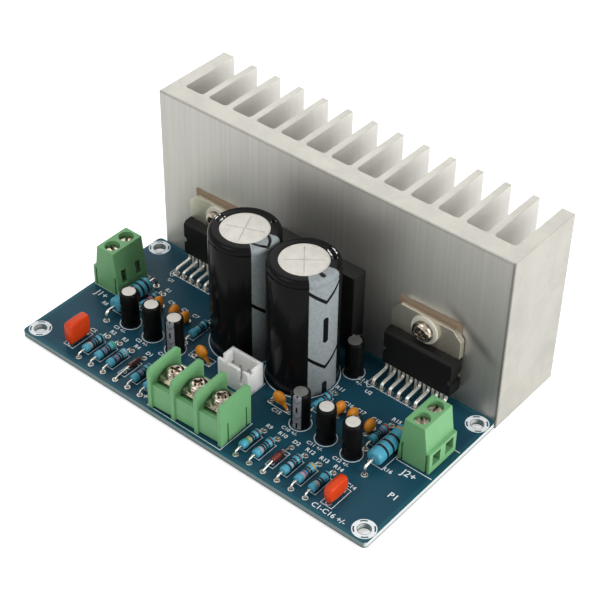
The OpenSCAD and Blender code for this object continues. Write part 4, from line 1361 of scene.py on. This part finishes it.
@dataclass
class CeramicCapacitors:
    """The dipped ceramic capacitors of one channel."""

    side: Side
    across: float = 3.6
    thick: float = 2.4
    root_share: float = 0.2
    coated: Spot = (0.45, 0.95)
    voxel: float = 0.13
    # offset from the middle line, Y, turn, hole spacing and height over the board
    spots: Sequence[tuple[float, float, float, float, float]] = (
        (34.4, 3.3, 90, 2.54, 0.1), (29.0, 3.6, 90, 2.54, 0.1), (25.3, 3.4, 90, 2.54, 0.1),
        (12.6, -4.0, 0, 5.08, 0.9))

    def build(self) -> None:
        """Dips each capacitor and sets it on its holes."""
        pieces = []
        for offset, y, turn, span, lift in self.spots:
            place = shift(MIRROR_X + self.side.value * offset, y, BOARD_TOP)
            pieces.append(moved(self.drop(span, lift), place @ spun(turn)))
        node = f"ceramic_capacitors_{self.side.word}"
        install(joined(pieces, f"{node}_finished"), DIP.slot, node)

    def drop(self, span: float, lift: float) -> Piece:
        """Makes one capacitor on legs along X.

        Args:
            span: Hole spacing.
            lift: Height of the disc over the board.

        Returns:
            The coated disc with its two legs, about the origin.
        """
        height = lift + self.across / 2
        deselect()
        bpy.ops.mesh.primitive_uv_sphere_add(segments=32, ring_count=20, radius=self.across / 2 * MM,
                                             enter_editmode=True)
        bpy.ops.transform.resize(value=(1, self.thick / self.across, 1), center_override=(0, 0, 0))
        bpy.ops.transform.translate(value=(0, 0, height * MM))
        bpy.ops.object.mode_set(mode="OBJECT")
        shapes, legs = [bpy.context.object], []
        for way, coated in zip((-1, 1), self.coated):
            foot = Vector((way * span / 2, 0, 0.25))
            root = Vector((way * self.across * self.root_share, 0, height - 0.5))
            run = root - foot
            rings = [(0.36, run.length * (1 - coated)), (0.5, run.length * (1 - coated * 0.6)),
                     (0.85, run.length)]
            aimed = run.to_track_quat("Z", "Y").to_matrix().to_4x4()
            shapes.append(moved(turned("skirt", rings, 20), shift(*foot) @ aimed))
            leg = wire("leg", [(foot.x, 0, -BOARD_TOP), foot, root], LEG_THICK, 0.15)
            legs.append(dress(leg, TIN))
        coat = dress(dipped("drop", shapes, self.voxel), DIP)
        return joined([coat, *legs], "drop")


# Parts that lie along Y


@dataclass(frozen=True)
class AxialShape:
    """Sizes of a part that lies between two bent leads."""

    length: float
    across: float
    waist: float
    span: float
    lift: float
    lead: float
    ring: float
    cap: float
    ease_start: float = 0.5
    ease_run: float = 0.6
    corner_share: float = 0.38

    def radius(self, along: float) -> float:
        """Radius of the body at a distance from its middle."""
        half, full = self.length / 2, self.across / 2
        inside = half - abs(along)
        slim = full * self.waist
        ease = min(max((abs(along) - (half - self.cap - self.ease_start)) / self.ease_run, 0.0), 1.0)
        body = slim + (full - slim) * ease * ease * (3 - 2 * ease)
        corner = full * self.corner_share
        if inside < corner:
            body -= corner * (1 - math.sqrt(max(1 - (1 - inside / corner) ** 2, 0.0)))
        return max(body, self.lead * 0.6)


QUARTER = AxialShape(6.3, 2.2, 0.83, 10.16, 0.1, 0.5, 0.56, 1.5)
POWER = AxialShape(12.2, 4.2, 0.96, 18.2, 0.6, 0.8, 0.7, 2.6)
DIODE = AxialShape(3.6, 1.6, 1.0, 10.16, 0.1, 0.55, 0.5, 0.6)


@dataclass
class AxialPart:
    """A resistor or diode with coloured rings and bent leads."""

    name: str
    shape: AxialShape
    body: Finish
    rings: Sequence[tuple[float, Band]]
    ahead: float = 0.0
    droop: float = 0.0
    steps: int = 12
    end_insets: Spot = (0.08, 0.25)

    def build(self, spot: Spot) -> Piece:
        """Models the part over its holes.

        Args:
            spot: Middle of the part on the board.

        Returns:
            The part, with its body, leads and rings in material slots.
        """
        shape = self.shape
        half, height = shape.length / 2, BOARD_TOP + shape.lift + shape.across / 2
        edges = {round(k * half / self.steps, 4) for k in range(-self.steps, self.steps + 1)}
        edges |= {way * (half - inset) for way in (-1, 1) for inset in self.end_insets}
        for at, _ in self.rings:
            edges = {e for e in edges if abs(e - at) > shape.ring * 0.6}
            edges |= {at - shape.ring / 2, at + shape.ring / 2}
        made = turned(self.name, [(shape.radius(e), e) for e in sorted(edges)], 28)
        dress(made, self.body, *(band_finish(band, self.body.slot) for _, band in self.rings))
        paint(made, self.slot_of)
        moved(made, shift(0, self.ahead, height) @ spun(-90, "X"))
        leads = []
        for way in (-1, 1):
            near, far = way * (half - 0.2) + self.ahead, way * shape.span / 2
            points = [(0, near, height), (0, far, height - self.droop), (0, far, 0)]
            leads.append(dress(wire("lead", points, shape.lead, shape.lead * 1.6), TIN))
        return moved(joined([made, *leads], self.name), shift(*spot, 0))

    def slot_of(self, centre: Vector) -> int:
        """Material slot of a face of the upright body, from its centre."""
        for index, (at, _) in enumerate(self.rings):
            if abs(centre.z - at) < self.shape.ring / 2:
                return index + 1
        return 0


@dataclass
class AxialParts:
    """The resistors and the diode of one channel.

    A code has a letter for each ring, from the front end, with a dot for none. Places
    are the middles of the rings from the middle of the body, as shares of its length.
    """

    side: Side
    codes: Sequence[str]
    power_code: str
    power_places: Sequence[float]
    glass: Finish = GLASS
    diode_ahead: float = 0.0
    diode_droop: float = 0.6
    diode_ring: float = 1.0
    code_letters: str = "KBRGVADP"
    ring_places: Sequence[float] = (-0.2, -0.08, 0.04, 0.16, 0.36)

    def bands(self, code: str, places: Sequence[float], length: float) -> list[tuple[float, Band]]:
        """Places the rings of a colour code along a body.

        Args:
            code: Letters of the rings.
            places: Places of the rings.
            length: Length of the body.

        Returns:
            Place and colour of each ring.
        """
        order = list(Band)
        return [(share * length, order[self.code_letters.index(letter)])
                for share, letter in zip(places, code) if letter != "."]

    def build(self) -> None:
        """Models every part of the channel."""
        word = self.side.word
        node = f"resistors_{word}"
        pieces = []
        for index, (low, high) in enumerate(loose_boxes(node)):
            centre = (low + high) / 2
            rings = self.bands(self.codes[index], self.ring_places, QUARTER.length)
            part = AxialPart(f"resistor_{word}_{index}", QUARTER, LACQUER, rings)
            pieces.append(part.build((centre.x, centre.y)))
        install(joined(pieces, f"{node}_finished"), LACQUER.slot, node)
        rings = self.bands(self.power_code, self.power_places, POWER.length)
        diode_rings = [(self.diode_ring, Band.BLACK)]
        for node, *sizes in (
                (f"power_resistor_{word}", POWER, LACQUER, rings),
                (f"diode_{word}", DIODE, self.glass, diode_rings, self.diode_ahead, self.diode_droop)):
            low, high = box_mm(node)
            centre = (low + high) / 2
            part = AxialPart(f"{node}_finished", *sizes)
            install(part.build((centre.x, centre.y)), part.body.slot, node)


# Connectors


@dataclass
class Connectors:
    """The signal header, the output terminals and the supply strip."""

    header_edge: float = 0.12
    housing_edge: float = 0.1
    strip_edge: float = 0.06
    metal_edge: float = 0.07
    ends: Sequence[str] = ("front", "back")
    poles: Sequence[str] = ("left", "middle", "right")

    def build(self) -> None:
        """Rounds the copies of all housings, contacts and screws."""
        rounded_node("header_housing", NYLON, self.header_edge)
        rounded_node("header_pins", TIN, self.metal_edge)
        for side in Side:
            rounded_node(f"output_housing_{side.word}", GREEN, self.housing_edge)
            rounded_node(f"output_contacts_{side.word}", CONTACT, self.metal_edge)
            for end in self.ends:
                rounded_node(f"clamp_cage_{side.word}_{end}", CONTACT, self.metal_edge)
                rounded_node(f"clamp_screw_{side.word}_{end}", SCREW, self.metal_edge)
        rounded_node("strip_housing", GREEN, self.strip_edge)
        rounded_node("strip_contacts", CONTACT, self.metal_edge)
        for pole in self.poles:
            rounded_node(f"strip_washer_{pole}", CONTACT, self.metal_edge)
            rounded_node(f"strip_screw_{pole}", SCREW, self.metal_edge)


# Stage


@dataclass(frozen=True)
class Lamp:
    """A soft square lamp aimed at the board, with its places and size in metres."""

    name: str
    place: tuple[float, float, float]
    size: float
    watts: float
    aim: tuple[float, float, float] = (0.0, 0.0, 0.01)

    def build(self) -> None:
        """Adds the lamp to the scene."""
        light = bpy.data.lights.new(self.name, "AREA")
        light.shape, light.size, light.energy = "SQUARE", self.size, self.watts
        made = linked(self.name, light)
        made.location = self.place
        made.rotation_euler = (Vector(self.place) - Vector(self.aim)).to_track_quat("Z", "Y").to_euler()


@dataclass
class Studio:
    """Camera, lamps, floor and the white surroundings, with places and sizes in metres."""

    azimuth: float = 39.26
    elevation: float = 40.03
    roll: float = 0.87
    focal_pixels: float = 1594.58
    camera_at: tuple[float, float, float] = (0.1909, -0.2154, 0.2673)
    sensor: float = 36.0
    clip: Spot = (0.01, 20.0)
    ambient: float = 0.5
    floor_lift: float = 0.5
    floor_size: float = 6.0
    floor_colour: RGB = (0.88, 0.88, 0.88)
    lamps: Sequence[Lamp] = (
        Lamp("key_lamp", (-0.3, -0.55, 0.8), 0.5, 3.0),
        Lamp("side_lamp", (0.9, 0.12, 0.4), 0.6, 9.0),
        Lamp("back_lamp", (-0.45, 0.6, 0.7), 0.7, 2.0),
    )

    def build(self) -> None:
        """Sets up the whole stage."""
        self.camera()
        self.world()
        self.floor()
        for lamp in self.lamps:
            lamp.build()
        bpy.context.scene.view_settings.view_transform = "Standard"

    def camera(self) -> None:
        """Places the camera of the reference view."""
        turn, lift, lean = (math.radians(a) for a in (self.azimuth, self.elevation, self.roll))
        back = Vector((math.sin(turn) * math.cos(lift), -math.cos(turn) * math.cos(lift), math.sin(lift)))
        right = Vector((math.cos(turn), math.sin(turn), 0.0))
        up = back.cross(right)
        across = right * math.cos(lean) + up * math.sin(lean)
        upward = up * math.cos(lean) - right * math.sin(lean)
        lens = bpy.data.cameras.new("camera")
        lens.sensor_width = self.sensor
        lens.lens = self.focal_pixels / PHOTO_PIXELS * self.sensor
        lens.clip_start, lens.clip_end = self.clip
        made = linked("camera", lens)
        axes = Matrix((across, upward, back)).transposed().to_4x4()
        made.matrix_world = Matrix.Translation(self.camera_at) @ axes
        bpy.context.scene.camera = made

    @staticmethod
    def seen(graph: Graph) -> Socket:
        """A mask that is 1 for what the camera sees, directly or in metal and glass."""
        rays = graph.node("ShaderNodeLightPath").outputs
        straight = graph.most(rays["Is Camera Ray"], rays["Is Glossy Ray"])
        return graph.most(straight, rays["Is Transmission Ray"])

    def world(self) -> None:
        """Surrounds the board with white that lights it at a plain level."""
        world = bpy.data.worlds.new("white_room")
        bpy.context.scene.world = world
        world.use_nodes = True
        world.node_tree.nodes.clear()
        graph = Graph(world.node_tree)
        level = graph.node("ShaderNodeMapRange", {0: self.seen(graph), 3: self.ambient, 4: 1.0}).outputs[0]
        sky = graph.node("ShaderNodeBackground", {"Color": WHITE, "Strength": level})
        graph.node("ShaderNodeOutputWorld", {"Surface": sky.outputs[0]})

    def floor(self) -> None:
        """Lays the pale floor that the board rests on."""
        deselect()
        bpy.ops.mesh.primitive_plane_add(size=self.floor_size, location=(0, 0, CAD_BOX[0][2]))
        floor = bpy.context.object
        floor.name = "floor"
        paper = bpy.data.materials.new("floor_paper")
        paper.use_nodes = True
        paper.node_tree.nodes.clear()
        graph = Graph(paper.node_tree)
        skin = graph.node("ShaderNodeBsdfDiffuse", {"Color": rgba(self.floor_colour)})
        lift = graph.times(self.seen(graph), self.floor_lift)
        glow = graph.node("ShaderNodeEmission", {"Color": WHITE, "Strength": lift})
        both = graph.node("ShaderNodeAddShader", {0: skin.outputs[0], 1: glow.outputs[0]})
        graph.node("ShaderNodeOutputMaterial", {"Surface": both.outputs[0]})
        floor.data.materials.append(paper)


SMALL_BEARINGS = {"inner": -75.0, "middle": 110.0, "outer": 110.0}
LEFT_CODES = ("RKRKB", "PKKKK", "KVKKG", "KVKKA", "..KKK", "KVKKB", "KKKKB")
RIGHT_CODES = ("GDKKB", "PKKKB", "..KKB", "KAKKB", "PVKKD", "PKK.K", "KKKVR")


def main() -> None:
    """Builds the stage and every sub-assembly, and reports each piece."""
    logging.basicConfig(level=logging.INFO, format="%(name)s: %(message)s")
    Studio().build()
    CircuitBoard().build()
    HeatsinkGroup().build()
    FilterCapacitor(Side.LEFT, tip=15.0, bearing=-11.0, marks=(("C1", 187.0), ("+", 60.0))).build()
    FilterCapacitor(Side.RIGHT, tip=8.35, bearing=-14.5, marks=(("C2", 64.0), ("+", 44.0))).build()
    for side in Side:
        for place, bearing in SMALL_BEARINGS.items():
            # The inner right lid is darkened as painted shade.
            lid = DARK_CAN if (side, place) == (Side.RIGHT, "inner") else CAN
            SmallCapacitor(f"small_capacitor_{side.word}_{place}", bearing, lid).build()
        SmallCapacitor(f"supply_capacitor_{side.word}", lid=DARK_CAN).build()
        FilmCapacitor(side).build()
        CeramicCapacitors(side).build()
    # The left diode takes the red glass darkened as painted shade.
    AxialParts(Side.LEFT, LEFT_CODES, power_code="DKKK", power_places=(-0.24, 0.08, 0.21, 0.35),
               glass=SHADED_GLASS, diode_ahead=1.6).build()
    AxialParts(Side.RIGHT, RIGHT_CODES, power_code="KKKD", power_places=(-0.246, -0.066, 0.123, 0.36)).build()
    Connectors().build()


if __name__ == "__main__":
    main()
